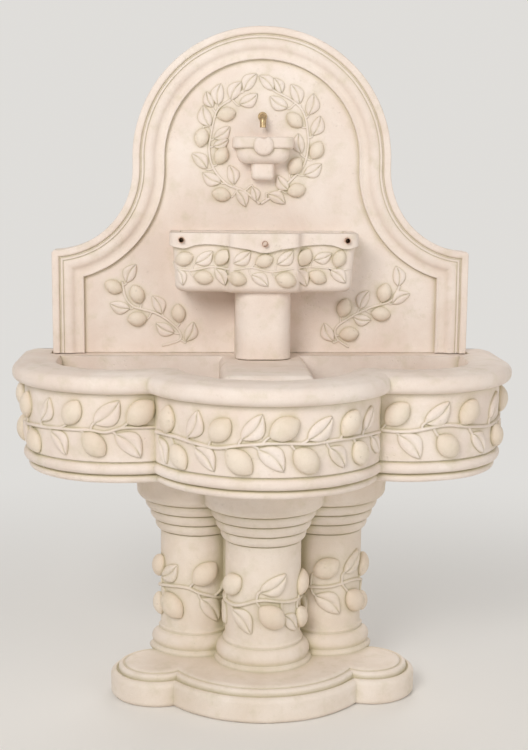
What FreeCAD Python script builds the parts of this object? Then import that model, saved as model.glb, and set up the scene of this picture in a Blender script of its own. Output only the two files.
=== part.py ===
"""Garden wall fountain of cast stone: pedestal, trefoil basin, arched backplate, trough and spill bowl,
with its pump, hose, copper spouts, drain and fixings. Millimetres; +Z is up and the wall is at +Y.
The origin is on the floor, midway between the sides and midway between the wall and the basin's front.
In the names, out is a distance from the wall, so a point's Y is basin_depth / 2 - out."""
import FreeCAD
import Part
import Sketcher
import math
import os
import re
from types import SimpleNamespace

from FreeCAD import Rotation, Vector

SIZES = {
    "Pedestal": {
        "pedestal_height": 509, "pedestal_back": 135, "plinth_height": 72, "plinth_face": 57,
        "plinth_front_radius": 249, "plinth_front_out": 194, "plinth_side_radius": 105, "plinth_side_x": 236,
        "plinth_side_lift": 3,
        "column_radius": 85, "column_foot": 27, "front_column_out": 219, "side_column_x": 148,
        "side_column_out": 119, "core_front": 180, "cap_band": 88, "cap_radius": 139, "cap_rolls": 3,
        "cap_roll_height": 24.5, "cap_roll_step": 11.2, "base_height": 53, "niche_width": 80,
        "niche_depth": 127,
    },
    "Basin": {
        "basin_depth": 565, "basin_height": 230, "basin_centre_radius": 282, "basin_side_radius": 250,
        "basin_side_x": 306, "basin_side_out": 165, "rim_width": 100, "rim_bullnose": 42, "rim_crown": 5.5,
        "frieze_inset": 26, "frieze_foot": 47, "basin_floor": 51, "basin_draft": 12, "floor_cove": 12,
        "rail_width": 85, "rib_radius": 40,
    },
    "Backplate": {
        "plate_height": 741, "plate_half_width": 479, "plate_thickness": 60, "panel_thickness": 40,
        "frame_width": 72, "shoulder_height": 239, "arch_radius": 294, "corner_clip": 6,
        "chase_width": 30, "chase_depth": 22, "hose_slot_width": 30,
    },
    "Trough": {
        "trough_bottom": 892, "trough_top": 1024, "trough_half_width": 204, "trough_taper": 8,
        "wing_out": 172, "bow_out": 195, "bow_inner_x": 62, "bow_outer_x": 94, "trough_corner": 22,
        "trough_wall": 22, "trough_floor": 24, "lip_overhang": 6, "lip_height": 25, "lip_wave": 18,
        "side_spout_x": 183, "side_spout_drop": 16, "centre_spout_drop": 23,
    },
    "Trough column": {
        "half_column_width": 124, "half_column_out": 165, "half_column_corner": 36,
        "half_column_slot": 44, "half_column_wall": 22,
    },
    "Pump cover": {
        "cover_width": 196, "cover_front_gap": 65, "cover_wall": 26, "cover_top": 27, "cover_edge": 5,
        "cover_gap": 0.5, "window_back": 100, "window_length": 190, "window_height": 110,
    },
    "Spill bowl": {
        "bowl_rim_half": 70, "bowl_rim_out": 105, "bowl_rim_top": 1235, "bowl_rim_height": 27,
        "bowl_half": 60, "bowl_out": 96, "bowl_bottom": 1176, "bowl_corner": 20, "bowl_edge": 14,
        "bowl_wall": 11, "bowl_floor": 16, "tongue_half": 37, "tongue_length": 42, "tongue_out": 112,
        "notch_width": 24, "notch_depth": 16, "bracket_width": 52, "bracket_height": 38, "bracket_out": 76,
    },
    "Spouts": {
        "pipe_diameter": 12.7, "pipe_wall": 1, "pipe_beyond": 9, "pipe_inside": 6,
        "nozzle_height": 1281, "nozzle_diameter": 14, "nozzle_wall": 1.5, "nozzle_reach": 52,
        "nozzle_bend": 14, "nozzle_drop": 11, "nozzle_start": 30, "collar_diameter": 21, "collar_length": 4,
        "elbow_diameter": 17, "elbow_tail": 34, "pipe_fit": 0.2,
    },
    "Hose": {
        "hose_diameter": 16, "hose_bore": 12, "hose_out": 130, "hose_bend": 70, "hose_foot": 650,
        "hose_rise": 762, "hose_back": 11, "clamp_width": 9, "clamp_thickness": 1.2,
    },
    "Pump": {
        "pump_axis": 600, "pump_half": 30, "pump_body_height": 64, "pump_left": -14, "pump_length": 76,
        "chamber_radius": 22, "chamber_length": 20, "rotor_bore": 10.5, "rotor_length": 36,
        "rotor_radius": 9.9, "rotor_start": 9, "shaft_diameter": 3, "bush_radius": 5, "bush_length": 4,
        "impeller_radius": 19, "hub_radius": 6, "vane_count": 6, "vane_thickness": 2, "vane_length": 12,
        "running_fit": 0.05, "intake_length": 12, "intake_radius": 8, "gasket_width": 3, "gasket_length": 2,
        "regulator_radius": 14, "regulator_thickness": 4, "port_radius": 5, "socket_radius": 11,
        "socket_height": 12, "foot_radius": 7, "foot_inset": 11, "gland_radius": 6, "gland_length": 9,
    },
    "Drain": {
        "drain_out": 225, "drain_diameter": 34, "drain_bore": 26, "drain_tail": 78, "spigot_diameter": 32,
        "spigot_length": 18, "drain_flange": 26, "flange_thickness": 3, "gasket_thickness": 2,
        "locknut_width": 46, "locknut_height": 9,
        "drain_fit": 0.3, "stopper_depth": 14, "stopper_fit": 0.1, "stopper_head": 17, "knob_radius": 5,
        "knob_height": 14,
    },
    "Relief": {
        "lemon_length": 62, "lemon_width": 47, "lemon_sink": 3.5, "leaf_length": 64, "leaf_width": 34,
        "leaf_rise": 7, "leaf_root": 6, "panel_relief": 0.67, "relief_gap": 1,
    },
    "Fixings": {
        "dowel_diameter": 10, "dowel_fit": 0.25, "plate_dowel_x": 440, "plate_dowel_out": 30,
        "plate_dowel_length": 80, "trough_dowel_x": 120, "trough_dowel_drop": 70, "trough_dowel_length": 40,
        "bowl_dowel_x": 36, "bowl_dowel_diameter": 8, "bowl_dowel_length": 44, "bracket_dowel_drop": 16,
        "bracket_dowel_length": 32, "dowel_cover": 2,
        "hanger_x": 200, "hanger_height": 1150, "hanger_width": 90, "hanger_tall": 44,
        "hanger_thickness": 3, "hanger_recess": 14, "keyhole_radius": 6, "keyslot_radius": 3.2,
        "keyslot_length": 14, "screw_diameter": 5, "screw_length": 20,
        "screw_spacing": 66,
    },
}
NAMES = {name for group in SIZES.values() for name in group}
TOUCH = 0.001
ARC_POINTS = 8
BEYOND = 5

doc = FreeCAD.newDocument("garden_wall_fountain")
sheet = doc.addObject("Spreadsheet::Sheet", "Sizes")
row = 1
for title, group in SIZES.items():
    sheet.set(f"A{row}", title)
    row += 1
    for name, value in group.items():
        sheet.set(f"A{row}", name)
        sheet.set(f"B{row}", str(value))
        sheet.setAlias(f"B{row}", name)
        row += 1
doc.recompute()
v = SimpleNamespace(**{name: float(sheet.get(name)) for name in NAMES})


# Values worked out from the sheet

rail_z = v.pedestal_height + v.basin_height
floor_z = v.pedestal_height + v.basin_floor
arch_z = rail_z + v.plate_height - v.arch_radius
shoulder_z = rail_z + v.shoulder_height
UPRIGHT = {"up": Rotation(), "out": Rotation(Vector(1, 0, 0), 90), "right": Rotation(Vector(0, 1, 0), 90)}
nodes = []


def bound(text):
    """An expression in the sheet's names, as an object's property takes it."""
    return re.sub(r"[a-z_]+", lambda found: ("Sizes." if found[0] in NAMES else "") + found[0], text)


def number(text):
    """What an expression in the sheet's names comes to."""
    return float(sheet.evalExpression(bound(text)))


def from_wall(text):
    """The Y of something that stands this far out from the wall."""
    return f"basin_depth / 2 - ({text})"


def at(x, out, z):
    return Vector(x, v.basin_depth / 2 - out, z)


def plan(z):
    """The horizontal plane at this height, for points of x and out."""
    return lambda x, out: at(x, out, z)


def elevation(out):
    """The upright plane this far out, for points of x and z."""
    return lambda x, z: at(x, out, z)


def side_view(x):
    """The upright plane across the wall, for points of out and z."""
    return lambda out, z: at(x, out, z)


def wire(plane, start, *steps):
    """A closed wire. A step is a point, or the middle and the end of an arc."""
    edges = []
    here = plane(*start)
    for step in steps:
        if isinstance(step[0], tuple):
            middle = plane(*step[0])
            end = plane(*step[1])
            edges.append(Part.Arc(here, middle, end).toShape())
        else:
            end = plane(*step)
            edges.append(Part.LineSegment(here, end).toShape())
        here = end
    if (here - plane(*start)).Length > TOUCH:
        edges.append(Part.LineSegment(here, plane(*start)).toShape())
    return Part.Wire(edges)


def extruded(outline, reach):
    return Part.Face(outline).extrude(reach)


def turned(profile, x, out, back):
    """What lies in front of a plane, of a solid turned about the upright axis at x and out."""
    outline = wire(lambda radius, z: at(x, out - radius, z), *profile)
    solid = Part.Face(outline).revolve(at(x, out, 0), Vector(0, 0, 1), 360)
    reach = 2 * v.basin_depth
    return solid.common(box(-reach, reach, back, reach, -BEYOND, reach))


def moulded(outline, profile):
    """A solid whose side follows a moulding of inset and height, ruled between outlines."""
    levels = [profile[0]]
    for step in profile[1:]:
        if isinstance(step[0], tuple):
            middle, end = (Vector(*point, 0) for point in step)
            arc = Part.Arc(Vector(*levels[-1], 0), middle, end).toShape()
            levels += [(point.x, point.y) for point in arc.discretize(ARC_POINTS)[1:]]
        else:
            levels.append(step)
    return Part.makeLoft([outline(z, inset) for inset, z in levels], True, True)


def box(x0, x1, out0, out1, z0, z1):
    return Part.makeBox(x1 - x0, out1 - out0, z1 - z0, at(x0, out1, z0))


def fused(shapes):
    return shapes[0].fuse(shapes[1:]).removeSplitter()


def mirrored(shape):
    return shape.mirror(Vector(0, 0, 0), Vector(1, 0, 0))


def arc_middle(centre, radius, degrees):
    """The point of a circle at this angle."""
    angle = math.radians(degrees)
    return (centre[0] + radius * math.cos(angle), centre[1] + radius * math.sin(angle))


def swept_middle(centre, radius, start, end):
    """The middle of the shorter arc between two points of a circle."""
    across = [start[axis] + end[axis] - 2 * centre[axis] for axis in (0, 1)]
    length = math.hypot(*across)
    return (centre[0] + radius * across[0] / length, centre[1] + radius * across[1] / length)


def meeting(first, first_radius, second, second_radius):
    """The outer of the two points where two circles in plan meet."""
    gap = (second[0] - first[0], second[1] - first[1])
    apart = math.hypot(*gap)
    along = (first_radius ** 2 - second_radius ** 2 + apart ** 2) / (2 * apart)
    rise = math.sqrt(first_radius ** 2 - along ** 2)
    toward = (gap[0] / apart, gap[1] / apart)
    ends = [(first[0] + along * toward[0] + turn * rise * toward[1],
             first[1] + along * toward[1] - turn * rise * toward[0]) for turn in (-1, 1)]
    return max(ends, key=lambda point: point[1])


def flip(point):
    """The same point on the left."""
    return (-point[0], point[1])


def rounded_plan(z, half, back, front, corner):
    """A plan that is square at the back and has round front corners."""
    right = arc_middle((half - corner, front - corner), corner, 45)
    left = (-right[0], right[1])
    return wire(plan(z), (-half, back), (half, back), (half, front - corner),
                (right, (half - corner, front)), (corner - half, front), (left, (-half, front - corner)))


def drill(axis, start, radius, length, fit="0"):
    """A cylinder's shape from the same expressions as a rod, wider by the fit."""
    x, out, z = (number(text) for text in start)
    direction = UPRIGHT[axis].multVec(Vector(0, 0, 1))
    return Part.makeCylinder(number(radius) + number(fit), number(length), at(x, out, z), direction)


def keep(thing, node):
    """Names a finished piece and lists it for writing."""
    thing.Label = node
    nodes.append(thing)
    return thing


def cast(node, shape):
    """A casting whose shape is worked out from the sheet's values."""
    thing = doc.addObject("Part::Feature", node)
    thing.Shape = shape
    return keep(thing, node)


def placed(thing, axis, start):
    """Turns a primitive to its axis and ties its place to the sheet."""
    thing.Placement = FreeCAD.Placement(Vector(0, 0, 0), UPRIGHT[axis])
    thing.setExpression(".Placement.Base.x", bound(start[0]))
    thing.setExpression(".Placement.Base.y", bound(from_wall(start[1])))
    thing.setExpression(".Placement.Base.z", bound(start[2]))
    return thing


def rod(name, axis, start, radius, length):
    thing = doc.addObject("Part::Cylinder", name)
    thing.setExpression("Radius", bound(radius))
    thing.setExpression("Height", bound(length))
    return placed(thing, axis, start)


def cone(name, axis, start, radius, end_radius, length):
    thing = doc.addObject("Part::Cone", name)
    thing.setExpression("Radius1", bound(radius))
    thing.setExpression("Radius2", bound(end_radius))
    thing.setExpression("Height", bound(length))
    return placed(thing, axis, start)


def brick(name, start, length, depth, height):
    """A box whose corner is its left, outermost, lowest one."""
    thing = doc.addObject("Part::Box", name)
    thing.setExpression("Length", bound(length))
    thing.setExpression("Width", bound(depth))
    thing.setExpression("Height", bound(height))
    return placed(thing, "up", start)


def cut(name, base, tool):
    thing = doc.addObject("Part::Cut", name)
    thing.Base = base
    thing.Tool = tool
    return thing


def fuse(name, *members):
    thing = doc.addObject("Part::MultiFuse", name)
    thing.Shapes = list(members)
    return thing


def group(name, members):
    thing = doc.addObject("Part::Compound", name)
    thing.Links = list(members)
    return thing


def tube(name, axis, start, radius, bore, length):
    outer = rod(name + "_outside", axis, start, radius, length)
    inner = rod(name + "_bore", axis, start, bore, length)
    return cut(name, outer, inner)


def body_of(node):
    return keep(doc.addObject("PartDesign::Body", node), node)


def sketch_on(body, plane, name, height="0"):
    """A sketch on one of the body's own planes, lifted off it by the height."""
    sketch = body.newObject("Sketcher::SketchObject", name)
    role = next(item for item in body.Origin.OriginFeatures if item.Role == plane)
    sketch.AttachmentSupport = [(role, "")]
    sketch.MapMode = "FlatFace"
    sketch.setExpression(".AttachmentOffset.Base.z", bound(height))
    return sketch


def pinned(sketch, curve, point, x, y):
    """Ties a sketch point to its two coordinates."""
    for kind, text in (("DistanceX", x), ("DistanceY", y)):
        index = sketch.addConstraint(Sketcher.Constraint(kind, -1, 1, curve, point, number(text)))
        sketch.setExpression(f"Constraints[{index}]", bound(text))


def rectangle(sketch, x0, x1, y0, y1):
    """A rectangle between four expressions."""
    ends = [(x0, y0), (x1, y0), (x1, y1), (x0, y1)]
    first = sketch.GeometryCount
    points = [Vector(number(x), number(y), 0) for x, y in ends]
    for index in range(4):
        sketch.addGeometry(Part.LineSegment(points[index], points[(index + 1) % 4]), False)
    for index in range(4):
        turn = first + (index + 1) % 4
        sketch.addConstraint(Sketcher.Constraint("Coincident", first + index, 2, turn, 1))
    for index, kind in enumerate(("Horizontal", "Vertical", "Horizontal", "Vertical")):
        sketch.addConstraint(Sketcher.Constraint(kind, first + index))
    pinned(sketch, first, 1, x0, y0)
    pinned(sketch, first + 1, 2, x1, y1)


def circle(sketch, x, y, radius):
    """A circle from three expressions."""
    centre = Vector(number(x), number(y), 0)
    curve = sketch.addGeometry(Part.Circle(centre, Vector(0, 0, 1), number(radius)), False)
    index = sketch.addConstraint(Sketcher.Constraint("Radius", curve, number(radius)))
    sketch.setExpression(f"Constraints[{index}]", bound(radius))
    pinned(sketch, curve, 3, x, y)


def pad(body, sketch, length, downward=False):
    feature = body.newObject("PartDesign::Pad", sketch.Name + "_pad")
    feature.Profile = sketch
    feature.Reversed = downward
    feature.setExpression("Length", bound(length))
    doc.recompute()
    return feature


def pocket(body, sketch, length, upward=False):
    """A pocket that must take something away."""
    before = body.Shape.Volume
    feature = body.newObject("PartDesign::Pocket", sketch.Name + "_pocket")
    feature.Profile = sketch
    feature.Reversed = upward
    feature.setExpression("Length", bound(length))
    doc.recompute()
    if not body.Shape.Volume < before - TOUCH:
        raise ValueError(sketch.Name + " cuts nothing")
    return feature


# Fixing holes, each a list of starts with the axis, radius and length that its dowels have

DOWELS = {
    "backplate_dowels": ("up", [(f"{side} * plate_dowel_x", "plate_dowel_out",
                                 "pedestal_height + basin_height - plate_dowel_length / 2") for side in (-1, 1)],
                         "dowel_diameter / 2", "plate_dowel_length"),
    "trough_dowels": ("out", [(f"{side} * trough_dowel_x", "panel_thickness - trough_dowel_length / 2",
                               "trough_top - trough_dowel_drop") for side in (-1, 1)],
                      "dowel_diameter / 2", "trough_dowel_length"),
    "spill_bowl_dowels": ("out", [(f"{side} * bowl_dowel_x", "panel_thickness - bowl_dowel_length / 2",
                                   "bowl_bottom + bowl_floor / 2") for side in (-1, 1)],
                          "bowl_dowel_diameter / 2", "bowl_dowel_length"),
    "bracket_dowel": ("out", [("0", "chase_depth + dowel_cover", "bowl_bottom - bracket_dowel_drop")],
                      "bowl_dowel_diameter / 2", "bracket_dowel_length"),
}


def dowel_holes(*rows):
    """The drilled holes of these rows of dowels."""
    holes = []
    for row_name in rows:
        axis, starts, radius, length = DOWELS[row_name]
        holes += [drill(axis, start, radius, length, "dowel_fit") for start in starts]
    return holes


# Lemons and leaves in relief: each row is a place along the face, a height and a slant in degrees

def on_face(shape, origin, turn, slant):
    """Turns a shape made on the X-Z plane to a face that looks this many degrees off the front."""
    shape.rotate(Vector(0, 0, 0), Vector(0, 1, 0), -slant)
    shape.rotate(Vector(0, 0, 0), Vector(0, 0, 1), turn)
    shape.translate(origin)
    return shape


def lemon(origin, turn, slant, scale=1):
    """A spindle, a little more than half of it in the face."""
    half = scale * v.lemon_length / 2
    sunk = scale * v.lemon_sink
    tips = (Vector(-half, sunk, 0), Vector(half, sunk, 0))
    profile = Part.Wire([Part.Arc(tips[0], Vector(0, sunk + scale * v.lemon_width / 2, 0), tips[1]).toShape(),
                         Part.LineSegment(tips[1], tips[0]).toShape()])
    return on_face(Part.Face(profile).revolve(tips[0], Vector(1, 0, 0), 360), origin, turn, slant)


def leaf(origin, turn, slant, scale=1):
    """A pointed blade of even thickness."""
    half = scale * v.leaf_length / 2
    side = scale * v.leaf_width / 2
    root = v.leaf_root
    tips = (Vector(-half, root, 0), Vector(half, root, 0))
    outline = Part.Wire([Part.Arc(tips[0], Vector(0, root, side), tips[1]).toShape(),
                         Part.Arc(tips[1], Vector(0, root, -side), tips[0]).toShape()])
    return on_face(extruded(outline, Vector(0, -root - scale * v.leaf_rise, 0)), origin, turn, slant)


# Pedestal: a trefoil plinth with three clustered columns, one casting, with a niche up its back

def column_profile():
    """Base mouldings, shaft and the stack of rolls under the top band."""
    r = v.column_radius
    foot = v.plinth_height
    base = foot + v.base_height
    steps = [(0, foot - BEYOND), (r + v.column_foot - 4, foot - BEYOND), (r + v.column_foot, foot + 2),
             ((r + v.column_foot - 1, foot + 9), (r + v.column_foot - 6, foot + 11)),
             (r + v.column_foot - 8, foot + 13),
             ((r + v.column_foot - 4, foot + 24), (r + 9, base - 8)),
             (r + 7, base - 7), ((r + 7, base - 3), (r + 4, base)), (r, base + 3)]
    z = v.pedestal_height - v.cap_band - v.cap_rolls * v.cap_roll_height
    for _ in range(int(v.cap_rolls)):
        steps += [(r, z), (r + 3, z), ((r + 10, z + v.cap_roll_height / 2), (r + 11, z + v.cap_roll_height))]
        r += v.cap_roll_step
        z += v.cap_roll_height
    steps += [(r + 4, z), ((r + 12, z + 9), (v.cap_radius - 4, z + 20)), (v.cap_radius, v.pedestal_height),
              (0, v.pedestal_height)]
    return steps


def plinth_profile():
    """Inset and height of a rounded upright face with a small step above it."""
    face = v.plinth_face
    top = v.plinth_height
    return [(9, 0), ((2.5, 4), (0, 14)), (0, face - 9), ((2.5, face - 2), (9, face)), (11, face + 1),
            (11, face + 6), ((13, face + 9), (18, face + 10)), ((30, top - 1.5), (44, top))]


def plinth_wire(z, inset):
    """The plinth in plan: two round side lobes and a wide front lobe, running on behind the back."""
    back = v.pedestal_back
    side = v.plinth_side_radius - inset
    side_middle = (v.plinth_side_x, back + v.plinth_side_radius + v.plinth_side_lift)
    front_middle = (0, v.plinth_front_out)
    front = v.plinth_front_radius - inset
    notch = meeting(front_middle, front, side_middle, side)
    heel = (v.plinth_side_x - inset, side_middle[1] - math.sqrt(side ** 2 - inset ** 2))
    flank = (v.plinth_side_x + side, side_middle[1])
    behind = swept_middle(side_middle, side, heel, flank)
    before = swept_middle(side_middle, side, flank, notch)
    rear = back - 6 * BEYOND
    return wire(plan(z), (-heel[0], rear), (heel[0], rear), heel, (behind, flank),
                (before, notch), ((0, v.plinth_front_out + front), flip(notch)), (flip(before), flip(flank)),
                (flip(behind), flip(heel)))


def pedestal():
    """Each member starts a little behind the back, where the finished casting is cut flat."""
    back = v.pedestal_back
    rear = back - 4 * BEYOND
    columns = [turned(column_profile(), 0, v.front_column_out, rear)]
    columns += [turned(column_profile(), side * v.side_column_x, v.side_column_out, rear) for side in (-1, 1)]
    core = box(-v.side_column_x, v.side_column_x, rear + BEYOND, v.core_front, v.plinth_height - BEYOND,
               v.pedestal_height)
    whole = fused([moulded(plinth_wire, plinth_profile()), core] + columns)
    reach = 2 * v.basin_depth
    ahead = box(-reach, reach, back, reach, 0, v.pedestal_height)
    niche = box(-v.niche_width / 2, v.niche_width / 2, rear, back + v.niche_depth, -BEYOND,
                v.pedestal_height + BEYOND)
    return whole.common(ahead).cut(niche)


# Basin: three lobes with a bullnose rim, a frieze and two rolls, and a level rail for the backplate

def basin_profile():
    """Inset and height of the outside, from the underside up over the rim's crown."""
    base = v.pedestal_height
    inset = v.frieze_inset
    frieze = base + v.frieze_foot
    nose = rail_z - v.rim_bullnose + BEYOND
    return [(inset + 18, base), ((inset + 7, base + 8), (inset + 10, base + 17)), (inset + 7, base + 19),
            ((inset - 4, base + 31), (inset + 3, frieze - 3)), (inset + 2, frieze), (inset, nose - 3),
            (inset - 12, nose), ((2, nose + 9), (0, nose + 19)), ((4, rail_z - 5), (16, rail_z + 1)),
            ((v.rim_width / 4, rail_z + v.rim_crown * 0.7), (v.rim_width / 2, rail_z + v.rim_crown))]


def basin_wire(z, inset):
    """The basin in plan: a straight back and sides, two side lobes and a centre lobe."""
    half = v.basin_side_x + v.basin_side_radius - inset
    side_middle = (v.basin_side_x, v.basin_side_out)
    centre_middle = (0, v.basin_depth - v.basin_centre_radius)
    side = v.basin_side_radius - inset
    centre = v.basin_centre_radius - inset
    notch = meeting(centre_middle, centre, side_middle, side)
    before = swept_middle(side_middle, side, (half, v.basin_side_out), notch)
    return wire(plan(z), (-half, 0), (half, 0), (half, v.basin_side_out), (before, notch),
                ((0, centre_middle[1] + centre), flip(notch)), (flip(before), (-half, v.basin_side_out)))


def mouth_wire(z, inset):
    """The mouth in plan: two side arcs and a centre arc, joined round the tips of the two ribs."""
    side = v.basin_side_radius - v.rim_width - inset
    centre = v.basin_centre_radius - v.rim_width - inset
    tip = v.rib_radius + inset
    side_middle = (v.basin_side_x, v.basin_side_out)
    centre_middle = (0, v.basin_depth - v.basin_centre_radius)
    rib = meeting(centre_middle, centre + tip, side_middle, side + tip)

    def toward_rib(middle, radius):
        share = radius / (radius + tip)
        return tuple(middle[axis] + share * (rib[axis] - middle[axis]) for axis in (0, 1))

    first = toward_rib(side_middle, side)
    second = toward_rib(centre_middle, centre)
    half = v.basin_side_x + side
    before = swept_middle(side_middle, side, (half, v.basin_side_out), first)
    round_tip = swept_middle(rib, tip, first, second)
    return wire(plan(z), (-half, v.rail_width), (half, v.rail_width), (half, v.basin_side_out),
                (before, first), (round_tip, second), ((0, centre_middle[1] + centre), flip(second)),
                (flip(round_tip), flip(first)), (flip(before), (-half, v.basin_side_out)))


FRIEZE_LEMONS = {
    "centre": [
        (-53.9, 147, 80), (-23.6, 141, 50), (5.2, 147, 30), (38.2, 148, 50), (-46.1, 75, -55),
        (-14.8, 79, -42), (15.3, 81, -45), (45.6, 82, -58)],
    "left": [
        (-87.4, 159, 70), (-67.3, 147, 80), (-27.2, 149, 58), (10.3, 153, 40), (-57.6, 75, -50),
        (-14.6, 85, -45), (-86.8, 83, -60)],
    "right": [
        (-9.2, 149, 45), (32.6, 147, 50), (80.2, 151, 60), (19.3, 79, -45), (62.4, 81, -50)]}
FRIEZE_LEAVES = {
    "centre": [
        (-37.7, 147, 65), (-9.2, 150, 52), (21.8, 145, 40), (51.2, 151, 60), (-58.9, 78, -60),
        (-31.7, 78, -45), (-0.7, 83, -42), (31.0, 81, -50), (58.9, 88, -50)],
    "left": [
        (-46.2, 148, 62), (-7.7, 153, 43), (-36.5, 81, -50), (3.6, 82, -45), (-73.2, 81, -50)],
    "right": [
        (12.6, 151, 40), (57.0, 151, 58), (-2.3, 79, -48), (41.1, 75, -50), (83.5, 79, -50)]}
SIDE_LEMONS = [(-1, 85, 151, 45), (1, 60, 151, 45), (1, 110, 81, -45)]
SIDE_LEAVES = [(-1, 110, 79, -45), (1, 130, 153, 50)]


def frieze_relief():
    """The lemons and leaves round the three lobes, and along the two straight sides behind them."""
    lobes = {"centre": ((0, v.basin_depth - v.basin_centre_radius), v.basin_centre_radius),
             "left": ((-v.basin_side_x, v.basin_side_out), v.basin_side_radius),
             "right": ((v.basin_side_x, v.basin_side_out), v.basin_side_radius)}
    pieces = []
    for shape, table in ((lemon, FRIEZE_LEMONS), (leaf, FRIEZE_LEAVES)):
        for lobe, (middle, radius) in lobes.items():
            for degrees, height, slant in table[lobe]:
                x, out = arc_middle(middle, radius - v.frieze_inset, 90 - degrees)
                pieces.append(shape(at(x, out, v.pedestal_height + height), degrees, slant))
    for shape, rows in ((lemon, SIDE_LEMONS), (leaf, SIDE_LEAVES)):
        for side, out, height, slant in rows:
            x = side * (v.basin_side_x + v.basin_side_radius - v.frieze_inset)
            pieces.append(shape(at(x, out, v.pedestal_height + height), 90 * side, slant))
    return pieces


def basin():
    crown = rail_z + v.rim_crown
    eased = -0.3 * v.rim_width
    levels = [(eased, crown + BEYOND), (eased, crown + TOUCH), (eased / 2, crown - 1.5), (-4, crown - 5),
              (0, crown - 15), (v.basin_draft, floor_z + 2 * v.floor_cove),
              (v.basin_draft + 0.3 * v.floor_cove, floor_z + 0.6 * v.floor_cove),
              (v.basin_draft + v.floor_cove, floor_z)]
    mouth = Part.makeLoft([mouth_wire(z, inset) for inset, z in levels], True, True)
    seat_half = v.plate_half_width + 2
    seat = box(-seat_half, seat_half, -BEYOND, v.rail_width, rail_z, rail_z + 4 * BEYOND)
    drain = drill("up", ("0", "drain_out", "pedestal_height - 1"), "drain_diameter / 2",
                  "basin_floor + 2", "drain_fit")
    whole = moulded(basin_wire, basin_profile()).fuse(frieze_relief())
    return whole.cut([mouth, seat, drain] + dowel_holes("backplate_dowels"))


# Backplate: an arched slab with a moulded frame round a sunk panel, chased at the back for the hose

def frame_profile():
    """Distance in from the edge and distance out from the wall, from the back round to the panel."""
    top = v.plate_thickness
    return [(0, 0), (0, top - 3), ((1.2, top - 0.9), (4, top)), (12, top), ((15, top - 1.3), (16.5, top - 4)),
            (17, top - 6), (20, top - 6), (20.5, top - 4), (25, top - 4), (26, top - 6),
            ((36, top - 2), (48, top - 7)), ((58, top - 12.5), (68, top - 9)), (v.frame_width - 1, top - 8.5),
            (v.frame_width, top - 10), (v.frame_width, v.panel_thickness)]


def plate_wire(out, inset):
    """The slab in front view: upright sides, hollow shoulders and a round arch, run on below the foot."""
    half = v.plate_half_width
    foot = rail_z - v.frame_width - BEYOND + inset
    hollow = half - v.arch_radius
    middle = (half, shoulder_z + hollow)
    radius = hollow + inset
    corner = (half - inset, middle[1] - math.sqrt(radius ** 2 - inset ** 2))
    neck = (v.arch_radius - inset, middle[1])
    spring = (v.arch_radius - inset, arch_z)
    bend = swept_middle(middle, radius, corner, neck)
    return wire(elevation(out), (inset - half, foot), (half - inset, foot), corner, (bend, neck), spring,
                ((0, arch_z + spring[0]), flip(spring)), flip(neck), (flip(bend), flip(corner)))


def clipped_corners():
    """Cutters that take the sharp tips off the two shoulders."""
    clip = v.corner_clip
    tip = (v.plate_half_width, shoulder_z)
    outline = wire(elevation(-BEYOND), (tip[0] - clip - BEYOND, tip[1] + BEYOND),
                   (tip[0] + BEYOND, tip[1] - clip - BEYOND), (tip[0] + BEYOND, tip[1] + BEYOND))
    piece = extruded(outline, Vector(0, -v.plate_thickness - 2 * BEYOND, 0))
    return [piece, mirrored(piece)]


WREATH_LEMONS = [
    (-82, 110, 15), (-138, 57, 258), (-93, 17, 60), (-93, -71, 170), (73, 98, 140), (124, 31, 62),
    (76, -5, 60), (79, -60, 15)]
WREATH_LEAVES = [
    (-28, 181, 52), (-60, 162, 58), (-32, 144, 30), (-98, 154, 82), (-120, 142, 112), (-127, 105, 108),
    (-92, 69, 38), (-94, 46, 24), (-143, 4, 135), (-115, -33, 152), (-70, -26, 105), (-47, -80, -62),
    (-18, -70, -75), (8, 180, 137), (34, 174, 118), (74, 156, 115), (37, 138, 148), (110, 134, 76),
    (123, 86, 68), (86, 46, 98), (116, -12, 33), (48, -43, 130), (34, -80, -28)]
SPRAY_LEMONS = [
    (-340, 1, 152), (-286, -16, 110), (-286, -73, 185), (-191, -60, 95), (286, -11, 75), (193, -46, 72),
    (279, -60, -5), (206, -107, 8)]
SPRAY_LEAVES = [
    (-299, 32, 62), (-326, -43, 165), (-240, -40, 118), (-222, -94, 152), (-165, -102, 68),
    (316, 28, 98), (326, -24, 30), (240, -27, 62), (236, -71, -8), (158, -103, 118)]


def panel_relief():
    """The wreath, placed from the bowl's foot, and two sprays, placed from the trough's, clear of both."""
    gap = v.relief_gap
    bowl_foot, trough_foot = v.bowl_bottom, v.trough_bottom
    rooms = [box(-half - gap, half + gap, 0, v.basin_depth, low - gap, high + gap) for half, low, high in (
        (v.bowl_rim_half, bowl_foot, v.bowl_rim_top), (v.bracket_width / 2, bowl_foot - v.bracket_height, bowl_foot),
        (v.trough_half_width + v.lip_overhang, trough_foot, v.trough_top),
        (v.half_column_width / 2, rail_z, trough_foot))]
    pieces = []
    for shape, rows, foot in ((lemon, WREATH_LEMONS, bowl_foot), (leaf, WREATH_LEAVES, bowl_foot),
                              (lemon, SPRAY_LEMONS, trough_foot), (leaf, SPRAY_LEAVES, trough_foot)):
        for x, height, slant in rows:
            piece = shape(at(x, v.panel_thickness, foot + height), 0, slant, v.panel_relief)
            pieces.append(piece.cut(rooms))
    return pieces


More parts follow.
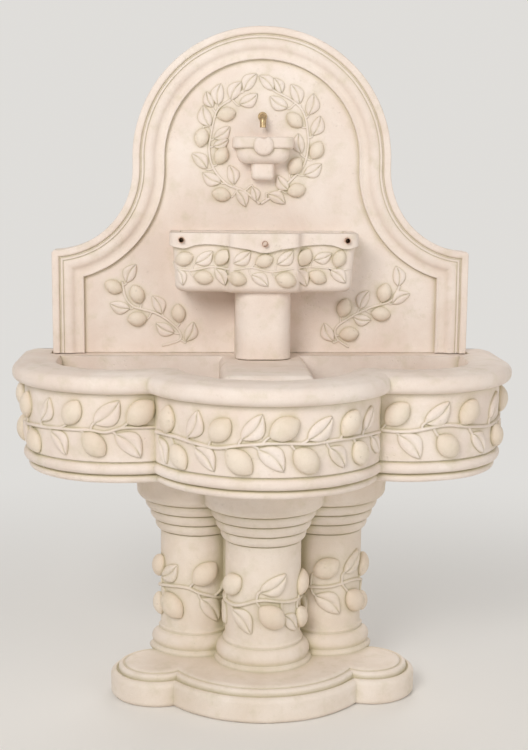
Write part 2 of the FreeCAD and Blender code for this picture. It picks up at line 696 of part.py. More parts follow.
def backplate():
    slot_foot = v.hose_rise + v.hose_bend / 2
    chase = box(-v.chase_width / 2, v.chase_width / 2, -BEYOND, v.chase_depth, slot_foot,
                v.nozzle_height + v.elbow_diameter)
    slot = box(-v.hose_slot_width / 2, v.hose_slot_width / 2, -BEYOND, v.plate_thickness, slot_foot,
               v.trough_bottom - BEYOND)
    nozzle = drill("out", ("0", "0", "nozzle_height"), "nozzle_diameter / 2", "plate_thickness", "pipe_fit")
    recesses = []
    for sign in (-1, 1):
        x = sign * v.hanger_x
        recesses.append(box(x - v.hanger_width / 2, x + v.hanger_width / 2, -BEYOND, v.hanger_thickness,
                            v.hanger_height - v.hanger_tall / 2, v.hanger_height + v.hanger_tall / 2))
        recesses.append(box(x - 2 * v.keyhole_radius, x + 2 * v.keyhole_radius, -BEYOND, v.hanger_recess,
                            v.hanger_height - v.hanger_tall / 2, v.hanger_height + v.hanger_tall / 2))
    screws = [drill("out", start, "screw_diameter / 2", "screw_length") for start in screw_starts()]
    below = box(-v.plate_half_width - BEYOND, v.plate_half_width + BEYOND, -BEYOND, v.plate_thickness + BEYOND,
                rail_z - v.frame_width - 2 * BEYOND, rail_z)
    cutters = clipped_corners() + [below, chase, slot, nozzle] + recesses + screws + dowel_holes(*DOWELS)
    return moulded(plate_wire, frame_profile()).fuse(panel_relief()).cut(cutters)


# Trough: a small bow-fronted trough with a wavy lip, set against the panel on the half column

def trough_plan(z, inset, back):
    """Straight wings and a bowed middle joined by two S-bends."""
    half = v.trough_half_width - inset
    corner = v.trough_corner
    wing = v.wing_out - inset
    bow = v.bow_out - inset
    run = v.bow_outer_x - v.bow_inner_x
    rise = bow - wing
    radius = (run ** 2 + rise ** 2) / (4 * rise)
    turn = math.atan2(rise, run)
    centre_x = (v.bow_outer_x + v.bow_inner_x) / 2
    dip = (v.bow_outer_x - radius * math.sin(turn), wing + radius * (1 - math.cos(turn)))
    swell = (v.bow_inner_x + radius * math.sin(turn), bow - radius * (1 - math.cos(turn)))
    corner_point = arc_middle((half - corner, wing - corner), corner, 45)
    return wire(plan(z), (-half, back), (half, back), (half, wing - corner),
                (corner_point, (half - corner, wing)), (v.bow_outer_x, wing),
                (dip, (centre_x, (wing + bow) / 2)), (swell, (v.bow_inner_x, bow)), (-v.bow_inner_x, bow),
                (flip(swell), (-centre_x, (wing + bow) / 2)), (flip(dip), (-v.bow_outer_x, wing)),
                (corner - half, wing), (flip(corner_point), (-half, wing - corner)))


def lip_region():
    """The lip in front view: level on top, with a scalloped lower edge that dips most in the middle."""
    foot = v.trough_top - v.lip_height
    wide = v.trough_half_width + 2 * v.lip_overhang
    wave = [(wide, 0.1), (0.88 * v.trough_half_width, 0.55), (0.73 * v.trough_half_width, 0.1),
            (0.55 * v.trough_half_width, 0.05), (0.21 * v.trough_half_width, 0.5)]
    half = [at(x, 0, foot - depth * v.lip_wave) for x, depth in wave]
    other = [at(-x, 0, foot - depth * v.lip_wave) for x, depth in reversed(wave)]
    edge = Part.BSplineCurve()
    edge.interpolate(half + [at(0, 0, foot - v.lip_wave)] + other)
    corners = [other[-1], at(-wide, 0, v.trough_top + BEYOND), at(wide, 0, v.trough_top + BEYOND), half[0]]
    sides = [Part.LineSegment(a, b).toShape() for a, b in zip(corners, corners[1:])]
    outline = Part.Wire([edge.toShape()] + sides)
    return extruded(outline, Vector(0, -v.basin_depth, 0))


def spout_holes():
    return [drill("out", start, "pipe_diameter / 2", "basin_depth", "pipe_fit") for _, start in trough_pipes()]


def trough_pipes():
    """The three copper tubes in the lip, each with its start inside the trough."""
    back = "wing_out - trough_wall - pipe_inside"
    side_z = "trough_top - side_spout_drop"
    return [("trough_spout_left", ("-side_spout_x", back, side_z)),
            ("trough_spout_centre", ("0", "bow_out - trough_wall - pipe_inside",
                                     "trough_top - centre_spout_drop")),
            ("trough_spout_right", ("side_spout_x", back, side_z))]


def trough():
    back = v.panel_thickness
    foot = v.trough_bottom
    levels = [(foot, v.trough_taper + 5), (foot + 4, v.trough_taper + 1), (foot + 9, v.trough_taper),
              (v.trough_top - 1, 0)]
    outside = Part.makeLoft([trough_plan(z, inset, back) for z, inset in levels], True, True)
    over = v.lip_overhang
    rim = [(v.trough_top - 2 * v.lip_height, -over), (v.trough_top - 4, -over), (v.trough_top - 1, 1 - over),
           (v.trough_top, 4 - over)]
    lip = Part.makeLoft([trough_plan(z, inset, back) for z, inset in rim], True, True).common(lip_region())
    wall = v.trough_wall
    hollow = [(foot + v.trough_floor, wall + 10), (foot + v.trough_floor + 10, wall + 4),
              (v.trough_top - 10, wall), (v.trough_top + 1, wall - 6)]
    inside = Part.makeLoft([trough_plan(z, inset, back + wall) for z, inset in hollow], True, True)
    return fused([outside, lip]).cut([inside] + spout_holes() + dowel_holes("trough_dowels"))


# Half column under the trough: hollow, open to the panel for the hose

def trough_column():
    half = v.half_column_width / 2
    outline = rounded_plan(rail_z, half, v.panel_thickness, v.half_column_out, v.half_column_corner)
    shaft = extruded(outline, Vector(0, 0, v.trough_bottom - rail_z))
    slot = box(-v.half_column_slot / 2, v.half_column_slot / 2, v.panel_thickness - BEYOND,
               v.half_column_out - v.half_column_wall, rail_z - BEYOND, v.trough_bottom + BEYOND)
    return shaft.cut(slot)


# Pump cover: a bridge of stone in the basin with the half column on it, open below, behind and at both sides

COVER_FRONT = "basin_depth - rim_width - cover_front_gap"


def pump_cover():
    body = body_of("pump_cover")
    base = "pedestal_height + basin_floor"
    tall = "basin_height - basin_floor"
    back = from_wall("rail_width + cover_gap")
    front = from_wall(COVER_FRONT)
    outline = sketch_on(body, "XY_Plane", "cover_outline", base)
    rectangle(outline, "-cover_width / 2", "cover_width / 2", front, back)
    slab = pad(body, outline, tall)
    rim = body.newObject("PartDesign::Fillet", "cover_edges")
    top = slab.Shape.BoundBox.ZMax
    names = [f"Edge{index + 1}" for index, edge in enumerate(slab.Shape.Edges)
             if edge.BoundBox.ZMin > top - TOUCH and edge.CenterOfMass.y < number(back) - TOUCH]
    rim.Base = (slab, names)
    rim.setExpression("Radius", bound("cover_edge"))
    doc.recompute()
    bay = sketch_on(body, "XY_Plane", "pump_bay", base)
    rectangle(bay, "cover_wall - cover_width / 2", "cover_width / 2 - cover_wall",
              from_wall(COVER_FRONT + " - cover_wall"), back + " + 1")
    pocket(body, bay, tall + " - cover_top", upward=True)
    window = sketch_on(body, "YZ_Plane", "side_windows", "-cover_width")
    rectangle(window, from_wall("window_back + window_length"), from_wall("window_back"),
              base + " - 1", base + " + window_height")
    pocket(body, window, "2 * cover_width", upward=True)
    hose = sketch_on(body, "XY_Plane", "hose_hole", base)
    circle(hose, "0", from_wall("hose_out"), "hose_diameter")
    pocket(body, hose, "basin_height", upward=True)


# Spill bowl and its bracket: a small bowl that pours over a tongue into the trough

def spill_bowl():
    back = v.panel_thickness
    foot = v.bowl_bottom
    shelf = v.bowl_rim_top - v.bowl_rim_height
    corner = v.bowl_corner
    rim = extruded(rounded_plan(shelf, v.bowl_rim_half, back, v.bowl_rim_out, corner),
                   Vector(0, 0, v.bowl_rim_height))
    rim = rim.makeFillet(4, [edge for edge in rim.Edges if edge.CenterOfMass.z > v.bowl_rim_top - TOUCH
                             and edge.CenterOfMass.y < at(0, back, 0).y - TOUCH])
    under = extruded(rounded_plan(foot, v.bowl_half, back, v.bowl_out, corner), Vector(0, 0, shelf - foot + 1))
    under = under.makeFillet(v.bowl_edge, [edge for edge in under.Edges if edge.CenterOfMass.z < foot + TOUCH
                                           and edge.CenterOfMass.y < at(0, back, 0).y - TOUCH])
    tip = v.bowl_rim_top - v.tongue_length
    half = v.tongue_half
    straight = v.bowl_rim_top - v.tongue_length / 2
    tongue = extruded(wire(elevation(v.bowl_out), (-half, v.bowl_rim_top - 3), (-half, straight),
                           ((0, tip), (half, straight)), (half, v.bowl_rim_top - 3)),
                      Vector(0, v.bowl_out - v.tongue_out, 0))
    wall = v.bowl_wall
    hollow = extruded(rounded_plan(foot + v.bowl_floor, v.bowl_rim_half - wall - 6, back + wall,
                                   v.bowl_out - wall / 2, corner - wall / 2),
                      Vector(0, 0, v.bowl_rim_top))
    notch = extruded(wire(elevation(v.bowl_out - wall), (-v.notch_width / 2, v.bowl_rim_top + 1),
                          (0, v.bowl_rim_top - v.notch_depth), (v.notch_width / 2, v.bowl_rim_top + 1)),
                     Vector(0, v.bowl_out - wall - v.tongue_out - 1, 0))
    return fused([rim, under, tongue]).cut([hollow, notch] + dowel_holes("spill_bowl_dowels"))


def spill_bowl_bracket():
    back = v.panel_thickness
    foot = v.bowl_bottom - v.bracket_height
    reach = v.bracket_out - back
    outline = wire(side_view(-v.bracket_width / 2), (back, foot), (back + reach * 0.35, foot),
                   ((back + reach * 0.8, foot + v.bracket_height * 0.3),
                    (v.bracket_out, foot + v.bracket_height * 0.8)),
                   (v.bracket_out, v.bowl_bottom), (back, v.bowl_bottom))
    corbel = extruded(outline, Vector(v.bracket_width, 0, 0))
    return corbel.cut(dowel_holes("bracket_dowel"))


# Screws that hold the hanger plates, two on each

def screw_starts():
    starts = []
    for side in (-1, 1):
        for end in (-1, 1):
            starts.append((f"{side} * hanger_x + {end} * screw_spacing / 2", "0", "hanger_height"))
    return starts


cast("pedestal", pedestal())
cast("basin", basin())
cast("backplate", backplate())
cast("trough", trough())
cast("trough_column", trough_column())
pump_cover()
cast("spill_bowl", spill_bowl())
cast("spill_bowl_bracket", spill_bowl_bracket())


# Copper tubes in the trough's lip

for node, start in trough_pipes():
    beyond = "trough_wall + pipe_inside + lip_overhang + pipe_beyond"
    keep(tube(node, "out", start, "pipe_diameter / 2", "pipe_diameter / 2 - pipe_wall", beyond), node)


# Nozzle above the spill bowl: a copper tube turned down at its end, with a collar on the panel

def swept(node, route, radius, bore=0):
    """A round tube along straight runs joined by tangent arcs, given as edges."""
    spine = Part.Wire(route)
    first = route[0]
    start = first.valueAt(first.FirstParameter)
    heading = first.tangentAt(first.FirstParameter)

    def along(size):
        circle_edge = Part.Wire(Part.Circle(start, heading, size).toShape())
        return spine.makePipeShell([circle_edge], True, False)

    solid = along(radius)
    expected = math.pi * radius ** 2 * spine.Length
    if abs(solid.Volume / expected - 1) > 0.01:
        raise ValueError(f"{node} lost volume along its route")
    if bore:
        solid = solid.cut(along(bore))
    return solid


def top_spout():
    z = v.nozzle_height
    bend = v.nozzle_bend
    reach = v.nozzle_reach
    turn = arc_middle((reach, z - bend), bend, 45)
    route = [Part.LineSegment(at(0, v.nozzle_start, z), at(0, reach, z)).toShape(),
             Part.Arc(at(0, reach, z), at(0, *turn), at(0, reach + bend, z - bend)).toShape(),
             Part.LineSegment(at(0, reach + bend, z - bend),
                              at(0, reach + bend, z - bend - v.nozzle_drop)).toShape()]
    return swept("top_spout", route, v.nozzle_diameter / 2, v.nozzle_diameter / 2 - v.nozzle_wall)


cast("top_spout", top_spout())
keep(tube("spout_collar", "out", ("0", "panel_thickness", "nozzle_height"), "collar_diameter / 2",
          "nozzle_diameter / 2", "collar_length"), "spout_collar")


# Brass elbow in the chase, from the hose to the nozzle

elbow_tail = rod("elbow_tail_tube", "up", ("0", "hose_back", "nozzle_height - elbow_tail"), "hose_bore / 2",
                 "elbow_tail")
elbow_stop = rod("elbow_stop", "up", ("0", "hose_back", "nozzle_height - elbow_diameter / 2"),
                 "elbow_diameter / 2", "elbow_diameter")
elbow_leg = rod("elbow_leg", "out", ("0", "hose_back", "nozzle_height"), "nozzle_diameter / 2",
                "nozzle_start - hose_back")
elbow_rise = rod("elbow_rise", "up", ("0", "hose_back", "nozzle_height - elbow_tail"), "hose_bore / 3",
                 "elbow_tail")
elbow_way = rod("elbow_way", "out", ("0", "hose_back", "nozzle_height"), "hose_bore / 3",
                "nozzle_start - hose_back")
elbow_solid = fuse("elbow_solid", elbow_tail, elbow_stop, elbow_leg)
elbow_ways = fuse("elbow_ways", elbow_rise, elbow_way)
keep(cut("spout_elbow", elbow_solid, elbow_ways), "spout_elbow")


# Supply hose: up inside the half column, back through the panel and up the chase to the elbow

def supply_hose():
    bend = v.hose_bend
    shift = v.hose_out - v.hose_back
    turn = math.acos(1 - shift / (2 * bend))
    print(f"hose bend radius {bend:.0f}, {bend / v.hose_diameter:.1f} diameters")
    rise = v.hose_rise
    first = (v.hose_out - bend, rise)
    top = rise + 2 * bend * math.sin(turn)
    second = (v.hose_back + bend, top)
    half_turn = math.degrees(turn) / 2
    middle = arc_middle(first, bend, 2 * half_turn)
    route = [Part.LineSegment(at(0, v.hose_out, v.hose_foot), at(0, v.hose_out, rise)).toShape(),
             Part.Arc(at(0, v.hose_out, rise), at(0, *arc_middle(first, bend, half_turn)),
                      at(0, *middle)).toShape(),
             Part.Arc(at(0, *middle), at(0, *arc_middle(second, bend, 180 + half_turn)),
                      at(0, v.hose_back, top)).toShape(),
             Part.LineSegment(at(0, v.hose_back, top),
                              at(0, v.hose_back, v.nozzle_height - v.elbow_diameter / 2)).toShape()]
    return swept("supply_hose", route, v.hose_diameter / 2, v.hose_bore / 2)


cast("supply_hose", supply_hose())


def hose_clamp(node, out, z):
    """A band round the hose with its screw lug to the side."""
    band = rod(node + "_band", "up", ("0", out, z), "hose_diameter / 2 + clamp_thickness", "clamp_width")
    lug = brick(node + "_lug", ("hose_diameter / 2", f"{out} + clamp_width / 4", z),
                "clamp_width / 2", "clamp_width / 2", "clamp_width")
    whole = fuse(node + "_whole", band, lug)
    keep(cut(node, whole, rod(node + "_bore", "up", ("0", out, z), "hose_diameter / 2", "clamp_width")), node)


hose_clamp("hose_clamp_lower", "hose_out", "hose_foot + clamp_width / 2")
hose_clamp("hose_clamp_upper", "hose_back", "nozzle_height - elbow_tail + clamp_width / 2")


# Pump: housing with the impeller chamber on the left, its axis level along X

PUMP_FLOOR = "pump_axis - pump_body_height / 2"
PUMP_TOP = "pump_axis + pump_body_height / 2"


def on_axis(x):
    """A start on the pump's axis."""
    return (x, "hose_out", "pump_axis")


def pump_housing():
    case = brick("pump_case", ("pump_left", "hose_out + pump_half", PUMP_FLOOR), "pump_length",
                 "2 * pump_half", "pump_body_height")
    socket = rod("pump_socket", "up", ("0", "hose_out", PUMP_TOP), "socket_radius", "socket_height")
    chamber = rod("pump_chamber", "right", on_axis("pump_left"), "chamber_radius", "chamber_length")
    well = rod("rotor_well", "right", on_axis("pump_left"), "rotor_bore",
               "rotor_start + rotor_length - pump_left + 1")
    seat = rod("rear_bush_seat", "right", on_axis("pump_left"), "bush_radius",
               "rotor_start + rotor_length - pump_left + 1 + bush_length")
    port = rod("outlet_port", "up", ("0", "hose_out", "pump_axis"), "port_radius", "pump_body_height")
    bore = rod("outlet_bore", "up", ("0", "hose_out", PUMP_TOP), "hose_bore / 2 + 1.5", "pump_body_height")
    hollows = fuse("pump_hollows", chamber, well, seat, port, bore)
    keep(cut("pump_housing", fuse("pump_solid", case, socket), hollows), "pump_housing")


def pump_intake_cover():
    """The strainer: a plate with a ring of slots round the regulator's seat."""
    plate = brick("intake_plate", ("pump_left - intake_length", "hose_out + pump_half", PUMP_FLOOR),
                  "intake_length", "2 * pump_half", "pump_body_height")
    eye = rod("intake_eye", "right", on_axis("pump_left - intake_length"), "intake_radius", "intake_length / 2")
    bush = rod("front_bush_seat", "right", on_axis("pump_left - bush_length"), "bush_radius", "bush_length")
    groove = tube("gasket_groove", "right", on_axis("pump_left - gasket_length"),
                  "chamber_radius + gasket_width + 1", "chamber_radius + 1", "gasket_length")
    slots = []
    for turn in range(8):
        slot = brick(f"intake_slot_{turn}", on_axis("pump_left - intake_length - 1"), "intake_length + 2",
                     "intake_radius / 2", "chamber_radius - 4")
        slot.Placement = FreeCAD.Placement(Vector(0, 0, 0), Rotation(Vector(1, 0, 0), 45 * turn))
        slots.append(slot)
    return plate, eye, bush, groove, slots


pump_housing()
plate, eye, bush_seat, groove, slots = pump_intake_cover()
middle_keep = rod("intake_middle", "right", on_axis("pump_left - intake_length - 1"), "bush_radius + 4",
                  "intake_length + 2")
slot_ring = cut("intake_slots", fuse("intake_star", *slots), middle_keep)
keep(cut("pump_intake_cover", plate, fuse("intake_hollows", eye, bush_seat, groove, slot_ring)),
     "pump_intake_cover")
keep(tube("pump_gasket", "right", on_axis("pump_left - gasket_length"), "chamber_radius + gasket_width + 1",
          "chamber_radius + 1", "gasket_length"), "pump_gasket")
keep(tube("shaft_bush_front", "right", on_axis("pump_left - bush_length"), "bush_radius",
          "shaft_diameter / 2", "bush_length"), "shaft_bush_front")
keep(tube("shaft_bush_rear", "right", on_axis("rotor_start + rotor_length + 1"), "bush_radius",
          "shaft_diameter / 2", "bush_length"), "shaft_bush_rear")
keep(rod("impeller_shaft", "right", on_axis("pump_left - bush_length"), "shaft_diameter / 2",
         "rotor_start + rotor_length + 1 + 2 * bush_length - pump_left"), "impeller_shaft")
keep(tube("rotor_magnet", "right", on_axis("rotor_start"), "rotor_radius",
          "shaft_diameter / 2 + running_fit", "rotor_length"), "rotor_magnet")


def impeller():
    """A hub with straight vanes, turning with the magnet on the fixed shaft."""
    body = body_of("impeller")
    hub = sketch_on(body, "YZ_Plane", "impeller_hub", "pump_left + 1")
    circle(hub, from_wall("hose_out"), "pump_axis", "hub_radius")
    pad(body, hub, "rotor_start - pump_left - 1")
    vane = sketch_on(body, "YZ_Plane", "impeller_vane", "pump_left + 3")
    rectangle(vane, from_wall("hose_out") + " - vane_thickness / 2",
              from_wall("hose_out") + " + vane_thickness / 2", "pump_axis", "pump_axis + impeller_radius")
    first = pad(body, vane, "vane_length")
    axle = body.newObject("PartDesign::Line", "impeller_axis")
    axle.Placement = FreeCAD.Placement(Vector(0, 0, 0), Rotation(Vector(0, 1, 0), 90))
    axle.setExpression(".Placement.Base.y", bound(from_wall("hose_out")))
    axle.setExpression(".Placement.Base.z", bound("pump_axis"))
    doc.recompute()
    ring = body.newObject("PartDesign::PolarPattern", "impeller_vanes")
    ring.Originals = [first]
    ring.Axis = (axle, [""])
    ring.Angle = 360
    ring.setExpression("Occurrences", bound("vane_count"))
    body.Tip = ring
    doc.recompute()
    bore = sketch_on(body, "YZ_Plane", "impeller_bore", "pump_left")
    circle(bore, from_wall("hose_out"), "pump_axis", "shaft_diameter / 2 + running_fit")
    pocket(body, bore, "rotor_length", upward=True)


impeller()


# Flow regulator: a disc with a finger tab that turns on the intake, its ears closing the slots

ear_start = "pump_left - intake_length - regulator_thickness"
regulator_disc = rod("regulator_disc", "right", on_axis(ear_start + " - running_fit"), "bush_radius + 6",
                     "regulator_thickness")
regulator_ears = brick("regulator_ears", (ear_start + " - running_fit", "hose_out + regulator_radius",
                                          "pump_axis - intake_radius / 2"),
                       "regulator_thickness", "2 * regulator_radius", "intake_radius")
regulator_tab = brick("regulator_tab", (ear_start + " - running_fit - regulator_thickness",
                                        "hose_out + vane_thickness", "pump_axis - regulator_radius"),
                      "regulator_thickness + 1", "2 * vane_thickness", "2 * regulator_radius")
regulator_stem = rod("regulator_stem", "right", on_axis(ear_start + " - running_fit"),
                     "intake_radius - running_fit", "regulator_thickness + intake_length / 2")
keep(fuse("flow_regulator", regulator_disc, regulator_ears, regulator_tab, regulator_stem), "flow_regulator")


# Outlet adapter, feet and cord gland of the pump

adapter_foot = rod("adapter_foot", "up", ("0", "hose_out", PUMP_TOP + " + 1"), "hose_bore / 2 + 1.5",
                   "socket_height - 1")
adapter_flange = rod("adapter_flange", "up", ("0", "hose_out", PUMP_TOP + " + socket_height"),
                     "socket_radius - 1", "hose_foot - pump_axis - pump_body_height / 2 - socket_height")
adapter_tail = rod("adapter_tail", "up", ("0", "hose_out", "hose_foot"), "hose_bore / 2", "hose_diameter")
adapter_way = rod("adapter_way", "up", ("0", "hose_out", PUMP_TOP), "port_radius - 1",
                  "hose_foot - pump_axis + hose_diameter")
keep(cut("outlet_adapter", fuse("adapter_solid", adapter_foot, adapter_flange, adapter_tail), adapter_way),
     "outlet_adapter")

feet = []
for x in ("pump_left + foot_inset", "pump_left + pump_length - foot_inset"):
    for side in (-1, 1):
        out = f"hose_out + {side} * (pump_half - foot_inset)"
        feet.append(cone(f"foot_{len(feet)}", "up", (x, out, "pedestal_height + basin_floor"), "foot_radius",
                         "foot_radius / 2", "pump_axis - pump_body_height / 2 - pedestal_height - basin_floor"))
keep(group("suction_feet", feet), "suction_feet")
keep(tube("cord_gland", "right", on_axis("pump_left + pump_length"), "gland_radius", "gland_radius / 2",
          "gland_length"), "cord_gland")


# Drain: a flanged tail through the basin's floor, clamped by a locknut below, and a stopper that lifts out

DRAIN = ("0", "drain_out")
FLOOR = "pedestal_height + basin_floor"
drain_flange = rod("drain_flange_disc", "up", (*DRAIN, FLOOR + " + gasket_thickness"), "drain_flange",
                   "flange_thickness")
drain_pipe = rod("drain_pipe", "up", (*DRAIN, FLOOR + " - drain_tail + spigot_length"),
                 "drain_diameter / 2", "drain_tail - spigot_length + gasket_thickness + flange_thickness")
drain_spigot = rod("drain_spigot", "up", (*DRAIN, FLOOR + " - drain_tail"), "spigot_diameter / 2",
                   "spigot_length")
drain_way = rod("drain_way", "up", (*DRAIN, FLOOR + " - drain_tail"), "drain_bore / 2",
                "drain_tail + gasket_thickness + flange_thickness")
drain_solid = fuse("drain_solid", drain_flange, drain_pipe, drain_spigot)
keep(cut("drain_fitting", drain_solid, drain_way), "drain_fitting")
keep(tube("drain_gasket", "up", (*DRAIN, FLOOR), "drain_flange", "drain_diameter / 2", "gasket_thickness"),
     "drain_gasket")

nut = doc.addObject("Part::Prism", "locknut_hexagon")
nut.Polygon = 6
nut.setExpression("Circumradius", bound("locknut_width / 2"))
nut.setExpression("Height", bound("locknut_height"))
placed(nut, "up", (*DRAIN, "pedestal_height - locknut_height"))
nut_bore = rod("locknut_bore", "up", (*DRAIN, "pedestal_height - locknut_height"), "drain_diameter / 2",
               "locknut_height")
keep(cut("drain_locknut", nut, nut_bore), "drain_locknut")

DRAIN_TOP = FLOOR + " + gasket_thickness + flange_thickness"
plug = cone("stopper_plug", "up", (*DRAIN, DRAIN_TOP + " - stopper_depth"), "drain_bore / 2 - 1",
            "drain_bore / 2 - stopper_fit", "stopper_depth")
plug_head = rod("stopper_cap", "up", (*DRAIN, DRAIN_TOP), "stopper_head", "flange_thickness")
plug_knob = rod("stopper_knob", "up", (*DRAIN, DRAIN_TOP), "knob_radius", "knob_height")
keep(fuse("drain_stopper", plug, plug_head, plug_knob), "drain_stopper")


# Steel dowels between the castings

for node, (axis, starts, radius, length) in DOWELS.items():
    pins = [rod(f"{node}_{index}", axis, start, radius, length) for index, start in enumerate(starts)]
    keep(group(node, pins) if len(pins) > 1 else pins[0], node)


# Hanger plates let into the back, each with a keyhole for a wall screw and two fixing screws

def hanger_plate(node, side):
    body = body_of(node)
    middle = f"{side} * hanger_x"
    plate_sketch = sketch_on(body, "XZ_Plane", node + "_outline", "-(basin_depth / 2)")
    rectangle(plate_sketch, f"{middle} - hanger_width / 2", f"{middle} + hanger_width / 2",
              "hanger_height - hanger_tall / 2", "hanger_height + hanger_tall / 2")
    pad(body, plate_sketch, "hanger_thickness")
    keyhole = sketch_on(body, "XZ_Plane", node + "_keyhole", "-(basin_depth / 2)")
    circle(keyhole, middle, "hanger_height - keyslot_length / 2", "keyhole_radius")
    pocket(body, keyhole, "hanger_thickness", upward=True)
    keyslot = sketch_on(body, "XZ_Plane", node + "_slot", "-(basin_depth / 2)")
    rectangle(keyslot, f"{middle} - keyslot_radius", f"{middle} + keyslot_radius",
              "hanger_height - keyslot_length / 2", "hanger_height + keyslot_length / 2")
    pocket(body, keyslot, "hanger_thickness", upward=True)
    screws = sketch_on(body, "XZ_Plane", node + "_screws", "-(basin_depth / 2)")
    for end in (-1, 1):
        circle(screws, f"{middle} + {end} * screw_spacing / 2", "hanger_height", "screw_diameter / 2")
    pocket(body, screws, "hanger_thickness", upward=True)


hanger_plate("hanger_plate_left", -1)
hanger_plate("hanger_plate_right", 1)
screws = [rod(f"hanger_screw_{index}", "out", start, "screw_diameter / 2", "screw_length")
          for index, start in enumerate(screw_starts())]
keep(group("hanger_screws", screws), "hanger_screws")


# Every piece is checked, then written

doc.recompute()
for thing in doc.Objects:
    faults = {"Invalid", "Error"} & set(thing.State)
    if faults:
        raise ValueError(f"{thing.Label} is {faults}")
for thing in nodes:
    if thing.Shape.isNull() or not thing.Shape.isValid() or not thing.Shape.Solids:
        raise ValueError(f"{thing.Label} has no valid shape")

os.makedirs("parts", exist_ok=True)
for thing in nodes:
    thing.Shape.exportStep(f"parts/{thing.Label}.step")
    print(thing.Label, len(thing.Shape.Solids), f"{thing.Shape.Volume / 1000:.0f} cm3")
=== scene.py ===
import math

import bmesh
import bpy
from mathutils import Matrix, Vector, noise


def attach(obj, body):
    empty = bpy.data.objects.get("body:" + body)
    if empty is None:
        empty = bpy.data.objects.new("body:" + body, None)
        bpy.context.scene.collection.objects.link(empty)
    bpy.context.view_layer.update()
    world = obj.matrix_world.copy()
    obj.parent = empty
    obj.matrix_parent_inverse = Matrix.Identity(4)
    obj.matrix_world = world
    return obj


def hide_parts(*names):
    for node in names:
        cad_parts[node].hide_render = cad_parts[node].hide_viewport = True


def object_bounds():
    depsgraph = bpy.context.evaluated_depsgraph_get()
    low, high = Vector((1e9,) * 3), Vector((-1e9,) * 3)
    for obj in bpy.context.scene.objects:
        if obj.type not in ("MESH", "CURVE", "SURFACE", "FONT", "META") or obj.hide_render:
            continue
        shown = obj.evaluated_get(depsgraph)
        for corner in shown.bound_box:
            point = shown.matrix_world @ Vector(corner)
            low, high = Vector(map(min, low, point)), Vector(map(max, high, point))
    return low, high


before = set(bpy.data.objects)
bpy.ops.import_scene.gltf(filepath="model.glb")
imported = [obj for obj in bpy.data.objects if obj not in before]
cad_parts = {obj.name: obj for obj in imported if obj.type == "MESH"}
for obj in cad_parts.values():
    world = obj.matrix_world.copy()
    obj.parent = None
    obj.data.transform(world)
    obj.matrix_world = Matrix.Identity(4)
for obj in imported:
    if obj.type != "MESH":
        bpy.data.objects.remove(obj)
cad_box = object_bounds()


# Camera: it stands a little left of the fountain, above the basin, and looks slightly down.
# A long lens takes in the whole piece in a tall frame.

scene = bpy.context.scene
camera_place = Vector((-0.1535, -2.8298, 1.153))
camera_heading, camera_dip, camera_roll = (math.radians(angle) for angle in (3.01, 8.6, 0.45))
film_width, lens_length = 36, 90.75

ahead = Vector((math.sin(camera_heading) * math.cos(camera_dip),
                math.cos(camera_heading) * math.cos(camera_dip), -math.sin(camera_dip)))
level = Vector((math.cos(camera_heading), -math.sin(camera_heading), 0))
upward = level.cross(ahead)
across = level * math.cos(camera_roll) + upward * math.sin(camera_roll)
top = upward * math.cos(camera_roll) - level * math.sin(camera_roll)

camera_data = bpy.data.cameras.new("camera")
camera_data.sensor_fit = "HORIZONTAL"
camera_data.sensor_width = film_width
camera_data.lens = lens_length
camera = bpy.data.objects.new("camera", camera_data)
camera.matrix_world = Matrix.Translation(camera_place) @ Matrix((across, top, -ahead)).transposed().to_4x4()
scene.collection.objects.link(camera)
scene.camera = camera
scene.view_settings.view_transform = "Standard"


# Floor and studio: a wide pale floor that fades into an even pale room. A large soft lamp stands high
# at the front left, a weaker one at the right, and a third lights the back.

room_tone = (0.74, 0.725, 0.70, 1)
floor_tone = (0.87, 0.855, 0.83, 1)
floor_shade = (*(0.96 * c for c in floor_tone[:3]), 1)
floor_reach, fade_start, fade_end = 30, 0.7, 2.4


def fed(tree, made, *first, **named):
    """Sets a node's inputs, the first ones in order and others by name. Each is a value or what feeds it."""
    inputs = [*zip(made.inputs, first), *((made.inputs[key.replace("_", " ")], named[key]) for key in named)]
    for socket, value in inputs:
        if isinstance(value, bpy.types.Node):
            value = value.outputs[0]
        if isinstance(value, bpy.types.NodeSocket):
            tree.links.new(value, socket)
        else:
            socket.default_value = value


def node(tree, kind, *first, **named):
    """A shader node with its properties and its inputs."""
    made = tree.nodes.new("ShaderNode" + kind)
    for key in [key for key in named if hasattr(made, key)]:
        setattr(made, key, named.pop(key))
    fed(tree, made, *first, **named)
    return made


def new_material(name):
    """A material with an empty node tree."""
    material = bpy.data.materials.new(name)
    material.use_nodes = True
    material.node_tree.nodes.clear()
    return material, material.node_tree


corners = ((-1, -1), (1, -1), (1, 1), (-1, 1))
floor_mesh = bpy.data.meshes.new("floor")
floor_mesh.from_pydata([(x * floor_reach, y * floor_reach, 0) for x, y in corners], [], [(0, 1, 2, 3)])
floor = bpy.data.objects.new("floor", floor_mesh)
scene.collection.objects.link(floor)
floor_finish, tree = new_material("studio_floor")
distance = node(tree, "VectorMath", node(tree, "NewGeometry"), operation="LENGTH").outputs["Value"]
fade = node(tree, "MapRange", distance, From_Min=fade_start, From_Max=fade_end, interpolation_type="SMOOTHSTEP")
tones = node(tree, "MixRGB", node(tree, "TexNoise", Scale=3, Detail=4), floor_tone, floor_shade)
paint = node(tree, "BsdfPrincipled", Base_Color=tones, Roughness=0.85)
glow = node(tree, "Emission", Color=room_tone)
node(tree, "OutputMaterial", node(tree, "MixShader", fade, paint, glow))
floor_mesh.materials.append(floor_finish)

